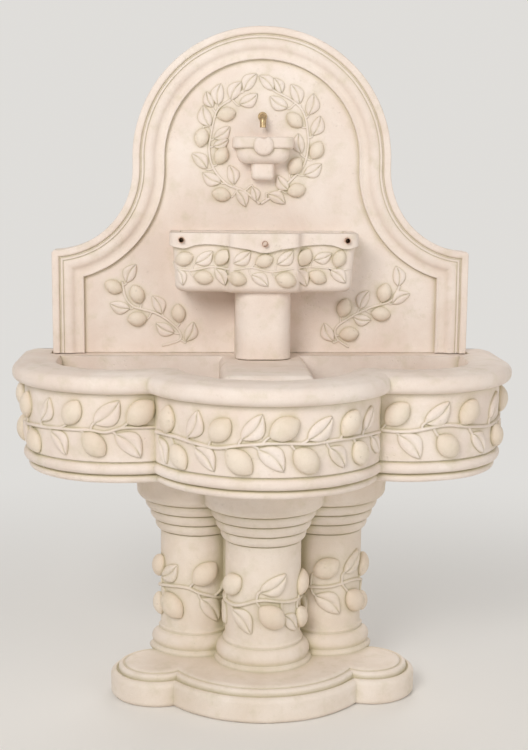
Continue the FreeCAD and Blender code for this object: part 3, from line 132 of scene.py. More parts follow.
world = bpy.data.worlds.new("studio")
world.use_nodes = True
scene.world = world
tree = world.node_tree
tree.nodes.clear()
ray = node(tree, "LightPath").outputs
seen = node(tree, "Math", ray["Is Camera Ray"], ray["Is Glossy Ray"], operation="MAXIMUM")
soft_light = node(tree, "Background", Color=(1, 0.985, 0.96, 1), Strength=0.42)
backdrop = node(tree, "Background", Color=room_tone, Strength=1)
node(tree, "OutputWorld", node(tree, "MixShader", seen, soft_light, backdrop))


def lamp(name, place, target, size, power, tone):
    """A square soft lamp aimed at a point."""
    data = bpy.data.lights.new(name, "AREA")
    data.size = size
    data.energy = power
    data.color = tone
    made = bpy.data.objects.new(name, data)
    made.location = place
    made.rotation_euler = (Vector(target) - Vector(place)).to_track_quat("-Z", "Y").to_euler()
    scene.collection.objects.link(made)


lamp("key_lamp", (-1.35, -2.95, 2.5), (0, 0, 0.7), size=1.4, power=69, tone=(1, 0.98, 0.955))
lamp("side_lamp", (2.5, -2.4, 1.3), (0, 0, 0.7), size=2.4, power=22, tone=(1, 0.975, 0.945))
lamp("back_lamp", (0.6, 2.8, 2.4), (0, 0, 0.9), size=2.0, power=26, tone=(1, 0.98, 0.96))


# Cast stone: every casting is a dry-packed mix of pale sand and cement, rubbed back when it comes
# out of the mould and given an ochre wash, which stays in the hollows and wears off the edges. The
# darker tint in the hollows is partly that wash and partly painted shade.

stone_face = (0.82, 0.70, 0.615, 1)
stone_pale = (0.90, 0.805, 0.73, 1)
# This colour serves both as the ochre wash and as the painted shade in hollows, creases and under overhangs.
stone_wash_and_shade = (0.59, 0.53, 0.35, 1)
fruit_face = (0.79, 0.67, 0.545, 1)


def shader_group(name, inputs, outputs):
    """A node group with named sockets, and its own ends: what it is given and what it puts out."""
    group = bpy.data.node_groups.new(name, "ShaderNodeTree")
    for label, kind, value in inputs:
        socket = group.interface.new_socket(label, in_out="INPUT", socket_type="NodeSocket" + kind)
        socket.default_value = value
    for label, kind in outputs:
        group.interface.new_socket(label, in_out="OUTPUT", socket_type="NodeSocket" + kind)
    return group, group.nodes.new("NodeGroupInput").outputs, group.nodes.new("NodeGroupOutput")


def edge_mask(tree, width, flat, sharp, most):
    """The softened normal of the edges, and a mask that grows from flat to sharp turns."""
    soft = node(tree, "Bevel", width, samples=4)
    turned = node(tree, "VectorMath", soft, node(tree, "NewGeometry").outputs["Normal"], operation="DOT_PRODUCT")
    return soft, node(tree, "MapRange", turned.outputs["Value"], From_Min=flat, From_Max=sharp, To_Max=most)


def cast_stone_group():
    """Clouded colour, an ochre tint in hollows that is partly a real wash and partly painted shade, paler edges, and
    a sandy skin with a few pits.
    """
    group, given, made = shader_group(
        "cast_stone",
        [("Face", "Color", stone_face), ("Pale", "Color", stone_pale), ("Ochre And Shade", "Color", stone_wash_and_shade),
         ("Hollow Reach", "Float", 0.02), ("Ochre And Shade Amount", "Float", 0.85), ("Edge Width", "Float", 0.004),
         ("Cloud Size", "Float", 7.0)],
        [("Color", "Color"), ("Roughness", "Float"), ("Height", "Float"), ("Soft Edge", "Vector")])
    spot = node(group, "TexCoord").outputs["Object"]

    clouds = node(group, "TexNoise", spot, Scale=given["Cloud Size"], Detail=5, Roughness=0.62, Distortion=0.3)
    cloud_cut = node(group, "MapRange", clouds, From_Min=0.36, From_Max=0.66)
    tone = node(group, "MixRGB", cloud_cut, given["Face"], given["Pale"])
    blotch = node(group, "TexNoise", spot, Scale=26, Detail=4, Roughness=0.6)
    blotch_cut = node(group, "MapRange", blotch, From_Min=0.52, From_Max=0.75, To_Max=0.35)
    stained = node(group, "MixRGB", blotch_cut, tone, given["Ochre And Shade"])

    # Darker and more ochre where ambient occlusion finds a hollow: partly the real wash, partly painted shade where
    # less light reaches.
    hollow = node(group, "AmbientOcclusion", Distance=given["Hollow Reach"], samples=8, only_local=True).outputs["AO"]
    hollow_cut = node(group, "MapRange", hollow, From_Min=0.95, From_Max=0.35)
    wash_and_shade_share = node(group, "Math", hollow_cut, given["Ochre And Shade Amount"], operation="MULTIPLY")
    washed_and_shaded = node(group, "MixRGB", wash_and_shade_share, stained, given["Ochre And Shade"])

    soft_edge, edge_cut = edge_mask(group, given["Edge Width"], flat=0.985, sharp=0.80, most=0.85)
    open_cut = node(group, "MapRange", hollow, From_Min=0.7, From_Max=0.98)
    outward = node(group, "Math", open_cut, edge_cut, operation="MULTIPLY")
    worn_noise = node(group, "TexNoise", spot, Scale=60, Detail=3)
    worn_cut = node(group, "MapRange", worn_noise, From_Min=0.35, From_Max=0.65)
    worn = node(group, "Math", outward, worn_cut, operation="MULTIPLY")
    edged = node(group, "MixRGB", worn, washed_and_shaded, given["Pale"])

    sand = node(group, "TexNoise", spot, Scale=420, Detail=3, Roughness=0.7)
    sand_value = node(group, "MapRange", sand, To_Min=0.93, To_Max=1.05)
    speckled = node(group, "MixRGB", 1, edged, sand_value, blend_type="MULTIPLY")

    pits = node(group, "TexVoronoi", spot, feature="SMOOTH_F1", Scale=95, Smoothness=0.4)
    pit_cut = node(group, "MapRange", pits, From_Min=0.10, From_Max=0.22)
    pit = node(group, "Math", 1, pit_cut, operation="SUBTRACT")
    pit_field = node(group, "TexNoise", spot, Scale=14, Detail=2)
    pit_place = node(group, "MapRange", pit_field, From_Min=0.50, From_Max=0.62)
    pit_depth = node(group, "Math", pit, pit_place, operation="MULTIPLY")

    trowel = node(group, "TexNoise", spot, Scale=38, Detail=2)
    waves = node(group, "Math", trowel, 0.9, operation="MULTIPLY")
    grains = node(group, "Math", sand, 0.35, operation="MULTIPLY")
    skin = node(group, "Math", waves, grains, operation="ADD")
    height = node(group, "Math", skin, pit_depth, operation="SUBTRACT")
    rough = node(group, "MapRange", blotch, To_Min=0.62, To_Max=0.86)
    fed(group, made, Color=speckled, Roughness=rough, Height=height, Soft_Edge=soft_edge)
    return group


def effect(tree, group, values):
    """A shared effect placed in a material with its own values. Returns its outputs."""
    skin = tree.nodes.new("ShaderNodeGroup")
    skin.node_tree = group
    fed(tree, skin, **values)
    return skin.outputs


cast_stone = cast_stone_group()


def stone_finish(name, relief=0.65, **values):
    """A cast stone material with its own values for the shared effect."""
    material, tree = new_material(name)
    skin = effect(tree, cast_stone, values)
    bump = node(tree, "Bump", Strength=relief, Distance=0.0012, Height=skin["Height"], Normal=skin["Soft Edge"])
    surface = node(tree, "BsdfPrincipled", Base_Color=skin["Color"], Roughness=skin["Roughness"], Normal=bump,
                   Specular_IOR_Level=0.35)
    node(tree, "OutputMaterial", surface)
    return material


plain_stone = stone_finish("plain_stone")
# The pedestal's stone is darker and more olive all over, and its hollow tint reaches wider. This is painted shade of
# the basin above, strongest on the caps and under the rolls.
pedestal_stone_with_shade = stone_finish("pedestal_stone_with_shade", Face=(0.79, 0.685, 0.58, 1), Pale=(0.88, 0.79, 0.705, 1),
                              Hollow_Reach=0.03)
fine_stone = stone_finish("fine_stone", Hollow_Reach=0.012, Edge_Width=0.003)
fruit_stone = stone_finish("fruit_stone", relief=0.9, Face=fruit_face, Pale=(0.86, 0.765, 0.65, 1),
                           Hollow_Reach=0.012)


# Pedestal: one casting of three clustered columns on a trefoil plinth, cut flat at the back, with a
# niche behind for the waste pipe. A branch of lemons winds round each shaft.

mm = 0.001
wall_y = 0.2825
arc_steps, curve_steps, crease_angle = 9, 6, 38
wave_height, wave_pitch, ripple_height, ripple_pitch = 0.0006, 11, 0.0003, 31
noise.seed_set(3)


def at(x, out, z):
    """A point from its place across, its distance out from the wall and its height, all in millimetres."""
    return (x * mm, wall_y - out * mm, z * mm)


def arc_points(centre, radius, start, end, count):
    """Points of an arc in plan, without its last one."""
    angles = [start + (end - start) * step / count for step in range(count)]
    return [(centre[0] + radius * math.cos(a), centre[1] + radius * math.sin(a)) for a in angles]


def line_points(start, end, count):
    """Points of a straight run, without its last one."""
    return [(start[0] + (end[0] - start[0]) * step / count, start[1] + (end[1] - start[1]) * step / count)
            for step in range(count)]


def meeting(first, first_radius, second, second_radius):
    """The front one of the two points where two circles in plan meet."""
    gap = Vector(second) - Vector(first)
    apart = gap.length
    along = (first_radius ** 2 - second_radius ** 2 + apart ** 2) / (2 * apart)
    rise = math.sqrt(first_radius ** 2 - along ** 2)
    toward = gap / apart
    ends = [(first[0] + along * toward.x + turn * rise * toward.y,
             first[1] + along * toward.y - turn * rise * toward.x) for turn in (-1, 1)]
    return max(ends, key=lambda point: point[1])


def all_round(count):
    """The angles of so many steps round a full turn."""
    return [math.tau * step / count for step in range(count)]


def both_sides(right):
    """A closed ring from its right half, which runs from the back's middle to the front's."""
    return right + [(-x, out) for x, out in reversed(right[1:])]


def heading(centre, point):
    """The angle at which a point lies from a centre."""
    return math.atan2(point[1] - centre[1], point[0] - centre[0])


def eased(profile, longest):
    """The points of a moulding: its arcs, given by a middle and an end, and its long runs divided."""
    points = [profile[0]]
    for step in profile[1:]:
        if isinstance(step[0], tuple):
            a, b, c = (Vector(point) for point in (points[-1], *step))
            d = 2 * (a.x * (b.y - c.y) + b.x * (c.y - a.y) + c.x * (a.y - b.y))
            ux = (a.dot(a) * (b.y - c.y) + b.dot(b) * (c.y - a.y) + c.dot(c) * (a.y - b.y)) / d
            uy = (a.dot(a) * (c.x - b.x) + b.dot(b) * (a.x - c.x) + c.dot(c) * (b.x - a.x)) / d
            angles = [heading((ux, uy), point) for point in (a, b, c)]
            turn = (angles[2] - angles[0]) % math.tau
            if (angles[1] - angles[0]) % math.tau > turn:
                turn -= math.tau
            radius = math.hypot(a.x - ux, a.y - uy)
            for count in range(1, arc_steps + 1):
                angle = angles[0] + turn * count / arc_steps
                points.append((ux + radius * math.cos(angle), uy + radius * math.sin(angle)))
        else:
            last = points[-1]
            count = max(1, round(math.dist(last, step) / longest))
            points += [(last[0] + (step[0] - last[0]) * n / count, last[1] + (step[1] - last[1]) * n / count)
                       for n in range(1, count + 1)]
    return points


def solid(name, points, faces):
    """An object from points and faces, with its faces turned outward."""
    mesh = bpy.data.meshes.new(name)
    mesh.from_pydata(points, [], faces)
    shape = bmesh.new()
    shape.from_mesh(mesh)
    bmesh.ops.recalc_face_normals(shape, faces=shape.faces)
    shape.to_mesh(mesh)
    shape.free()
    made = bpy.data.objects.new(name, mesh)
    scene.collection.objects.link(made)
    return made


def shell(rings):
    """Points and faces of a closed skin through rings, with its two ends closed."""
    count = len(rings[0])
    last = len(rings) * count - count
    faces = [tuple(range(count)), tuple(range(last, last + count))]
    for start in range(0, last, count):
        faces += [(start + i, start + (i + 1) % count, start + count + (i + 1) % count, start + count + i)
                  for i in range(count)]
    return [point for ring in rings for point in ring], faces


def lofted(name, rings, *finishes):
    """A closed solid through rings, with its materials."""
    made = solid(name, *shell(rings))
    for material in finishes:
        made.data.materials.append(material)
    return made


def profiled(name, ring, profile, *finishes, longest=9):
    """A solid that follows a moulding, with its outline given for each inset and height."""
    return lofted(name, [ring(inset, z) for inset, z in eased(profile, longest)], *finishes)


def block(x0, x1, out0, out1, z0, z1):
    """A plain block from one place to another across, out and up."""
    ring = [(x0, out0), (x1, out0), (x1, out1), (x0, out1)]
    return lofted("block", [[at(x, out, z) for x, out in ring] for z in (z0, z1)])


def worked(body, operation, tools):
    """Adds tools to a body, takes them from it or keeps what they share. The tools are used up."""
    for tool in tools:
        step = body.modifiers.new(operation, "BOOLEAN")
        step.operation = operation
        step.solver = "MANIFOLD"
        step.object = tool
        tool.hide_render = True
    settled(body)
    for tool in tools:
        bpy.data.objects.remove(tool)


def settled(body):
    """Makes the body's modifiers part of its mesh."""
    bpy.context.view_layer.update()
    whole = bpy.data.meshes.new_from_object(body.evaluated_get(bpy.context.evaluated_depsgraph_get()))
    body.modifiers.clear()
    body.data = whole


def hand_rubbed(body, sunk=0, wave=1):
    """The slight waviness of rubbed castings, but for the wall face and a flat panel sunk this far out,
    kept inside the fountain's own box, and smooth shading with flat faces kept flat."""
    mesh = body.data
    for vertex in mesh.vertices:
        spot = vertex.co
        out = (wall_y - spot.y) / mm
        if min(out, abs(out - sunk)) > 0.1:
            moved = spot + wave * (wave_height * noise.noise_vector(spot * wave_pitch)
                                   + ripple_height * noise.noise_vector(spot * ripple_pitch))
            vertex.co = [min(max(value, low), high) for value, low, high in zip(moved, *cad_box)]
    mesh.shade_smooth()
    mesh.set_sharp_from_angle(angle=math.radians(crease_angle))
    flat = body.modifiers.new("flat", "WEIGHTED_NORMAL")
    flat.keep_sharp = True
    settled(body)


def in_place(body, node_name):
    """Names a finished casting and lets it stand for its plain solid."""
    body.name = node_name + "_casting"
    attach(body, "fountain")
    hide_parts(node_name)


def grouped(name, shells, finish):
    """The closed skins as few objects, each of skins that stand clear of each other."""
    groups = []
    for skin in shells:
        low, high = (Vector(reach(place) for place in zip(*skin[0])) for reach in (min, max))
        for group in groups:
            if all(any(high[k] < other[0][k] or other[1][k] < low[k] for k in range(3)) for *other, _ in group):
                group.append((low, high, skin))
                break
        else:
            groups.append([(low, high, skin)])
    made = []
    for group in groups:
        points, faces = [], []
        for *_, (more_points, more_faces) in group:
            start = len(points)
            points += more_points
            faces += [tuple(start + index for index in face) for face in more_faces]
        body = solid(name, points, faces)
        body.data.materials.append(finish)
        made.append(body)
    return made


def lemon(wall, across, height, tilt, length, width, stand):
    """A lemon in half relief: a full body that narrows to both ends, with a small knob at its tip."""
    slant = math.radians(tilt)
    steps, sides = 16, 20
    rings = []
    for step in range(steps + 1):
        t = -math.cos(math.pi * (0.03 + 0.94 * step / steps))
        body = (1 - t * t) ** 0.74
        knob = 0.2 * math.sqrt(max(0, 1 - ((t - 0.89) / 0.11) ** 2))
        reach = width / 2 * max(body, knob)
        ring = []
        for angle in all_round(sides):
            b = reach * math.cos(angle)
            h = stand * 0.2 + reach / (width / 2) * stand * 0.8 * math.sin(angle)
            a = t * length / 2
            ring.append(wall(across + a * math.cos(slant) - b * math.sin(slant),
                             height + a * math.sin(slant) + b * math.cos(slant), h))
        rings.append(ring)
    return shell(rings)


def leaf(wall, across, height, tilt, length, width, stand, bend):
    """A pointed leaf: two full halves beside a narrow sunk midrib, with faint side veins."""
    slant = math.radians(tilt)
    rows, columns, root = 18, 14, -4
    rings = []
    for row in range(rows + 1):
        t = 0.008 + 0.984 * row / rows
        half = width / 2 * max(0.03, math.sin(math.pi * t ** 0.9) ** 0.8)
        sway = bend * length * math.sin(math.pi * t)
        fall = min(1, 0.45 + 4 * t, 0.45 + 4 * (1 - t))
        top, under = [], []
        for column in range(columns + 1):
            s = -1 + 2 * column / columns
            swell = math.sin(math.pi * min(1, 0.16 + 0.84 * abs(s))) ** 0.8
            groove = 0.2 * math.exp(-(s / 0.13) ** 2) * min(1, 6 * (1 - t))
            vein = 0.05 * math.cos(math.tau * (5.5 * t - 1.5 * abs(s))) * math.sin(math.pi * abs(s))
            a = (t - 0.5) * length
            b = s * half + sway
            u = across + a * math.cos(slant) - b * math.sin(slant)
            z = height + a * math.sin(slant) + b * math.cos(slant)
            top.append(wall(u, z, stand * (0.42 + 0.58 * swell - groove + vein) * fall))
            under.append(wall(u, z, root))
        rings.append(top + under[::-1])
    return shell(rings)


def smooth_line(points):
    """Points of a smooth curve through the given ones."""
    line = [points[0]] + list(points) + [points[-1]]
    out = []
    for p0, p1, p2, p3 in zip(line, line[1:], line[2:], line[3:]):
        for step in range(curve_steps):
            t = step / curve_steps
            out.append(tuple(0.5 * (2 * b + (c - a) * t + (2 * a - 5 * b + 4 * c - d) * t * t
                                    + (3 * b - a - 3 * c + d) * t ** 3)
                             for a, b, c, d in zip(p0, p1, p2, p3)))
    return out + [points[-1]]


def twig(wall, points, thick, thin, stand):
    """A stem in half relief along a line on the wall, from its thick end to its thin one."""
    line = smooth_line(points)
    rings = []
    for index, (u, z) in enumerate(line):
        before, after = line[max(index - 1, 0)], line[min(index + 1, len(line) - 1)]
        run = math.dist(before, after) or 1
        side = (-(after[1] - before[1]) / run, (after[0] - before[0]) / run)
        radius = thick + (thin - thick) * index / (len(line) - 1)
        ring = []
        for angle in all_round(10):
            b = radius * math.cos(angle)
            ring.append(wall(u + side[0] * b, z + side[1] * b, radius * (0.25 + 1.15 * math.sin(angle)) * stand))
        rings.append(ring)
    return shell(rings)


def nearest(line, point):
    """The point of a line that lies nearest to another."""
    return min(line, key=lambda spot: math.dist(spot, point))


lemon_length, lemon_width, lemon_stand = 64, 47, 21
leaf_length, leaf_width, leaf_stand = 70, 43, 8
lemon_foot, leaf_foot = 30, 34


def branch(wall, stem, fruits, leaves, scale=1.0, stand=1.0, thick=4.8, stone=plain_stone):
    """A branch: its stem, its lemons and leaves, and the short stalk of each."""
    line = smooth_line(stem)
    lemons = [lemon(wall, u, z, tilt, lemon_length * scale * size, lemon_width * scale * size,
                    lemon_stand * stand * size) for u, z, tilt, size in fruits]
    blades = [leaf(wall, u, z, tilt, leaf_length * scale * size, leaf_width * scale * size,
                   leaf_stand * stand, bend) for u, z, tilt, size, bend in leaves]
    stalks = []
    for u, z, tilt, reach in ([(u, z, tilt, lemon_foot * size) for u, z, tilt, size in fruits]
                              + [(u, z, tilt, leaf_foot * size) for u, z, tilt, size, _ in leaves]):
        run, rise = math.cos(math.radians(tilt)), math.sin(math.radians(tilt))
        foot = (u - reach * scale * run, z - reach * scale * rise)
        back = (foot[0] - 7 * scale * run, foot[1] - 7 * scale * rise)
        root = nearest(line, (back[0] - 9 * scale * run, back[1] - 3 * scale * rise))
        inner = (foot[0] + 4 * scale * run, foot[1] + 4 * scale * rise)
        if math.dist(root, foot) > 2:
            stalks.append(twig(wall, [root, back, inner], thick * scale * 0.72, thick * scale * 0.6, stand))
    stalks.append(twig(wall, stem, thick * scale, thick * scale * 0.75, stand))
    return grouped("lemons", lemons, fruit_stone) + grouped("leaves", blades, stone) + grouped("stems", stalks, stone)


def column_wall(x, out, radius):
    """The face of a round shaft, by the distance round from its front."""
    def wall(u, z, h):
        angle = u / radius
        return at(x + (radius + h) * math.sin(angle), out + (radius + h) * math.cos(angle), z)
    return wall


pedestal_top, pedestal_back = 509, 135
shaft_radius, shaft_foot, cap_radius = 85, 67, 139
column_places = [(0, 219), (-148, 119), (148, 119)]
first_roll, roll_rise, roll_reach = 347.5, 24.5, 11.2
groove = [(0, -2.5), (-3, -1.5), (-3, 0.7)]
niche_half, niche_reach = 40, 262
plinth_back = 105
side_foot, side_foot_radius = (236, 243), 105
front_foot, front_foot_radius = (0, 194), 249


def column(x, out):
    """Torus and hollow at the foot, a plain shaft, three stepped rolls and a deep band."""
    r, z = shaft_radius, first_roll
    profile = [(0.5, shaft_foot), (r + 25, shaft_foot), ((r + 25.5, 74), (r + 20, 80)), (r + 18, 82),
               ((r + 20, 98), (r + 8, 114)), (r + 4.5, 115), (r + 4.5, 117.5), ((r + 5, 122), (r + 2, 125)), (r, 128)]
    for _ in range(3):
        profile += [(r + step, z + rise) for step, rise in groove]
        profile += [(r + 4.5, z + 1), ((r + 10.5, z + 10), (r + 11.5, z + 20))]
        r += roll_reach
        z += roll_rise
    profile += [(r + step, z + rise) for step, rise in groove]
    profile += [(r + 7, z + 1), ((r + 16, z + 9), (cap_radius - 1.5, z + 22)), (cap_radius, z + 34),
                (cap_radius, pedestal_top), (0.5, pedestal_top)]

    def ring(reach, z):
        return [at(x + reach * math.cos(a), out + reach * math.sin(a), z) for a in all_round(120)]
    return profiled("column", ring, profile)


def plinth_ring(inset, z):
    """Two round side lobes and a wide front lobe."""
    side, front = side_foot_radius - inset, front_foot_radius - inset
    notch = meeting(front_foot, front, side_foot, side)
    heel = (side_foot[0] - inset, side_foot[1] - math.sqrt(side ** 2 - inset ** 2))
    right = (line_points((0, plinth_back), (heel[0], plinth_back), 8)
             + line_points((heel[0], plinth_back), heel, 6)
             + arc_points(side_foot, side, heading(side_foot, heel), heading(side_foot, notch), 70)
             + arc_points(front_foot, front, heading(front_foot, notch), math.pi / 2, 60)
             + [(0, front_foot[1] + front)])
    return [at(x, out, z) for x, out in both_sides(right)]


plinth_profile = [(9, 0), ((2.5, 4), (0, 14)), (0, 42), ((3, 52), (12, 56)), (14.5, 53), (17, 53), (17.5, 60),
                  ((19.5, 66), (26, 68.5)), (29, 66), (31, 66.5), (32, 69), ((37, 71.2), (46, 72))]
pedestal = profiled("pedestal", plinth_ring, plinth_profile, pedestal_stone_with_shade, fruit_stone)

# Each branch has its stem, then its lemons by place round, height, tilt and size, then its leaves,
# which have a bend too. A tilt is in degrees, and the fruit or leaf points that way.
shaft_branches = [
    ([(-150, 214), (-69, 209), (-8, 228), (60, 218), (135, 216)],
     [(-79, 255, 40, 1.0), (112, 250, 60, 0.95), (15, 190, -43, 1.1), (104, 172, -60, 0.95)],
     [(19, 265, 33, 1.0, -0.12), (-54, 174, -45, 1.0, 0.12), (62, 168, -50, 0.8, 0.1), (-130, 178, -48, 0.9, 0.1)]),
    ([(-128, 212), (-70, 224), (-24, 226), (10, 212), (70, 196), (140, 205)],
     [(-112, 262, 55, 1.0), (17, 259, 42, 1.05), (-60, 180, -45, 1.12), (-116, 172, -60, 0.9)],
     [(-71, 258, 36, 0.9, -0.12), (28, 172, -55, 1.0, 0.12), (80, 235, 40, 0.9, -0.1)]),
    ([(-140, 215), (-60, 223), (-1, 226), (66, 235), (126, 218)],
     [(-4, 270, 30, 1.0), (112, 262, 60, 0.95), (70, 186, -50, 1.05), (116, 172, -70, 0.85)],
     [(60, 280, 48, 0.95, -0.12), (0, 183, -38, 1.05, 0.12), (-70, 182, -45, 0.9, 0.1)]),
]
parts = [column(x, out) for x, out in column_places]
parts.append(block(-148, 148, 120, 180, shaft_foot, pedestal_top))
for (x, out), spray in zip(column_places, shaft_branches):
    parts += branch(column_wall(x, out, shaft_radius), *spray, stone=pedestal_stone_with_shade)
worked(pedestal, "UNION", parts)
worked(pedestal, "DIFFERENCE", [block(-600, 600, -100, pedestal_back, -50, 600),
                                block(-niche_half, niche_half, 100, niche_reach, -50, 600)])
hand_rubbed(pedestal)
in_place(pedestal, "pedestal")


# Basin: one casting with three lobes, a bullnose rim, a frieze of lemon branches between the rim
# and the rolls below, and a level rail at the back that carries the backplate. It stands on the
# pedestal's three caps.

basin_half = 556
side_lobe, side_lobe_radius = (306, 165), 250
centre_lobe, centre_lobe_radius = (0, 283), 282
mouth_side_radius, mouth_centre_radius, rib_tip = 150, 182, 40
rail_top, rail_depth, rail_half, basin_floor = 739, 85, 481, 560
frieze_foot, frieze_top, frieze_inset = 556, 699, 28
drain_out, drain_hole = 225, 17.3
rail_dowel, dowel_hole = (440, 30, 699), 5.25


def round_bar(place, radius, length, upright=False):
    """A cylinder that runs out from the wall, or up."""
    x, out, z = place
    rings = []
    for reach in (0, length):
        if upright:
            rings.append([at(x + radius * math.cos(a), out + radius * math.sin(a), z + reach) for a in all_round(32)])
        else:
            rings.append([at(x + radius * math.cos(a), out + reach, z + radius * math.sin(a)) for a in all_round(32)])
    return lofted("bar", rings)


def mirrored(place):
    """A place on the left, and the same on the right."""
    x, out, z = place
    return (-x, out, z), (x, out, z)


def basin_ring(inset, z):
    """The basin in plan: a straight back, round side lobes and a bowed front."""
    half, side, centre = basin_half - inset, side_lobe_radius - inset, centre_lobe_radius - inset
    notch = meeting(centre_lobe, centre, side_lobe, side)
    right = (line_points((0, 0), (half, 0), 14) + line_points((half, 0), (half, side_lobe[1]), 18)
             + arc_points(side_lobe, side, 0, heading(side_lobe, notch), 84)
             + arc_points(centre_lobe, centre, heading(centre_lobe, notch), math.pi / 2, 56)
             + [(0, centre_lobe[1] + centre)])
    return [at(x, out, z) for x, out in both_sides(right)]


def mouth_ring(inset, z):
    """The mouth: two side arcs and a centre arc, joined round the tips of two ribs."""
    side, centre, tip = mouth_side_radius - inset, mouth_centre_radius - inset, rib_tip + inset
    rib = meeting(centre_lobe, centre + tip, side_lobe, side + tip)
    first, second = heading(side_lobe, rib), heading(centre_lobe, rib)
    half = side_lobe[0] + side
    right = (line_points((0, rail_depth), (half, rail_depth), 10)
             + line_points((half, rail_depth), (half, side_lobe[1]), 10)
             + arc_points(side_lobe, side, 0, first, 60)
             + arc_points(rib, tip, first - math.pi, second - math.pi - math.tau * (second > first), 24)
             + arc_points(centre_lobe, centre, second, math.pi / 2, 40)
             + [(0, centre_lobe[1] + centre)])
    return [at(x, out, z) for x, out in both_sides(right)]


basin_profile = [(44, pedestal_top), ((33, 517), (36, 525)), (39, 526), (39, 527.5), (33, 528.5),
                 ((22, 540), (28.5, 552)), (31.5, 553), (31.5, 555), (frieze_inset, frieze_foot),
                 (frieze_inset - 2, frieze_top), (14, 702), ((2, 711), (0, 721)), ((4, 734), (16, 740)),
                 ((25, 742.9), (50, 744.5))]
basin = profiled("basin", basin_ring, basin_profile, plain_stone, fruit_stone)


def lobe_wall(middle, radius, sign):
    """The frieze of a lobe, by the distance round from its front, and on along the straight side."""
    def wall(u, z, h):
        reach = radius - frieze_inset + (z - frieze_foot) / (frieze_top - frieze_foot) * 2
        middle_reach = radius - frieze_inset + 1
        turn = u / middle_reach
        if sign * turn > math.pi / 2:
            beyond = (sign * turn - math.pi / 2) * middle_reach
            return at(middle[0] + sign * (reach + h), middle[1] - beyond, z)
        return at(middle[0] + (reach + h) * math.sin(turn), middle[1] + (reach + h) * math.cos(turn), z)
    return wall


frieze_branches = [
    (lobe_wall(centre_lobe, centre_lobe_radius, 0),
     [(-290, 622), (-220, 624), (-165, 618), (-113, 613), (-56, 622), (14, 627), (76, 623), (133, 626), (224, 624),
      (290, 620)],
     [(-240, 656, 80, 0.95), (-105, 650, 50, 0.95), (23, 656, 30, 1.05), (170, 657, 50, 0.98),
      (-205, 584, -55, 0.92), (-66, 588, -42, 1.05), (68, 590, -45, 1.05), (203, 591, -58, 0.95)],
     [(-168, 656, 65, 0.92, -0.12), (-41, 659, 52, 0.95, -0.12), (97, 654, 40, 0.98, -0.1), (228, 660, 60, 0.8, -0.1),
      (-262, 587, -60, 0.85, 0.1), (-141, 587, -45, 0.92, 0.12), (-3, 592, -42, 1.0, 0.12),
      (138, 590, -50, 0.85, 0.12), (262, 597, -50, 0.75, 0.1)]),
    (lobe_wall((-side_lobe[0], side_lobe[1]), side_lobe_radius, -1),
     [(-520, 622), (-440, 628), (-380, 612), (-324, 608), (-212, 617), (-77, 623), (-33, 620), (8, 630), (92, 628)],
     [(-340, 668, 70, 1.0), (-262, 656, 80, 0.95), (-106, 658, 58, 0.95), (40, 662, 40, 1.1), (-430, 660, 45, 1.0),
      (-224, 584, -50, 0.95), (-57, 594, -45, 1.0), (-338, 592, -60, 1.0), (-470, 590, -45, 1.0)],
     [(-180, 657, 62, 0.85, -0.12), (-30, 662, 43, 1.05, -0.1), (-495, 662, 50, 0.9, -0.1),
      (-142, 590, -50, 0.9, 0.12), (14, 591, -45, 1.05, 0.12), (-285, 590, -50, 0.8, 0.1),
      (-405, 588, -45, 0.95, 0.1)]),
    (lobe_wall(side_lobe, side_lobe_radius, 1),
     [(-90, 625), (-62, 622), (-6, 621), (64, 632), (129, 624), (200, 617), (270, 622), (340, 628), (410, 618),
      (520, 625)],
     [(-36, 658, 45, 1.0), (127, 656, 50, 1.0), (312, 660, 60, 1.0), (455, 660, 45, 1.0),
      (75, 588, -45, 1.0), (243, 590, -50, 1.0), (405, 590, -45, 1.0)],
     [(49, 660, 40, 1.0, -0.12), (222, 660, 58, 0.95, -0.1), (385, 662, 50, 0.9, -0.1),
      (-9, 588, -48, 1.0, 0.12), (160, 584, -50, 0.9, 0.12), (325, 588, -50, 0.95, 0.1), (485, 592, -45, 0.9, 0.1)]),
]
parts = []
for run in frieze_branches:
    parts += branch(*run)
worked(basin, "UNION", parts)
mouth_profile = [(-30, 749.5), (-30, 744.6), (-15, 743), (-4, 739.5), (0, 729.5), (12, 584), (15.6, 567.2),
                 (24, basin_floor)]
mouth = profiled("mouth", mouth_ring, mouth_profile, longest=14)
worked(basin, "DIFFERENCE", [mouth, block(-rail_half, rail_half, -30, rail_depth, rail_top, 800),
                             block(-800, 800, -60, 0, 400, 900),
                             round_bar((0, drain_out, pedestal_top - 1), drain_hole, 53, upright=True),
                             *(round_bar(place, dowel_hole, 50, upright=True) for place in mirrored(rail_dowel))])
hand_rubbed(basin)
in_place(basin, "basin")


# Backplate: an arched slab with a moulded frame round a sunk panel. A wreath of two lemon sprays
# rings the nozzle, and a spray rises on each side of the trough.

panel_out, plate_half, plate_foot = 40, 479, 660
arch_radius, arch_height = 294, 1186
shoulder_radius, shoulder_height = 185, 1163
joint_width = 2.2
chase_half, chase_foot, chase_top = 15, 797, 1298
nozzle_height, nozzle_hole = 1281, 7.2
hanger_place, hanger_foot, hanger_top, screw_reach = 200, 1128, 1172, 33
trough_dowel, bowl_dowel, bracket_dowel = (120, 20, 954), (36, 18, 1184), (0, 24, 1160)
small_dowel_hole = 4.25
plate_profile = [(0, 0), (0, 57), ((1.2, 59.1), (4, 60)), (12, 60), ((15, 58.7), (16.5, 56)), (17, 54), (20, 54),
                 (20.5, 56), (25, 56), (26, 54), ((36, 58), (48, 53)), ((58, 47.5), (68, 51)), (71, 51.5), (72, 50),
                 (72, panel_out)]


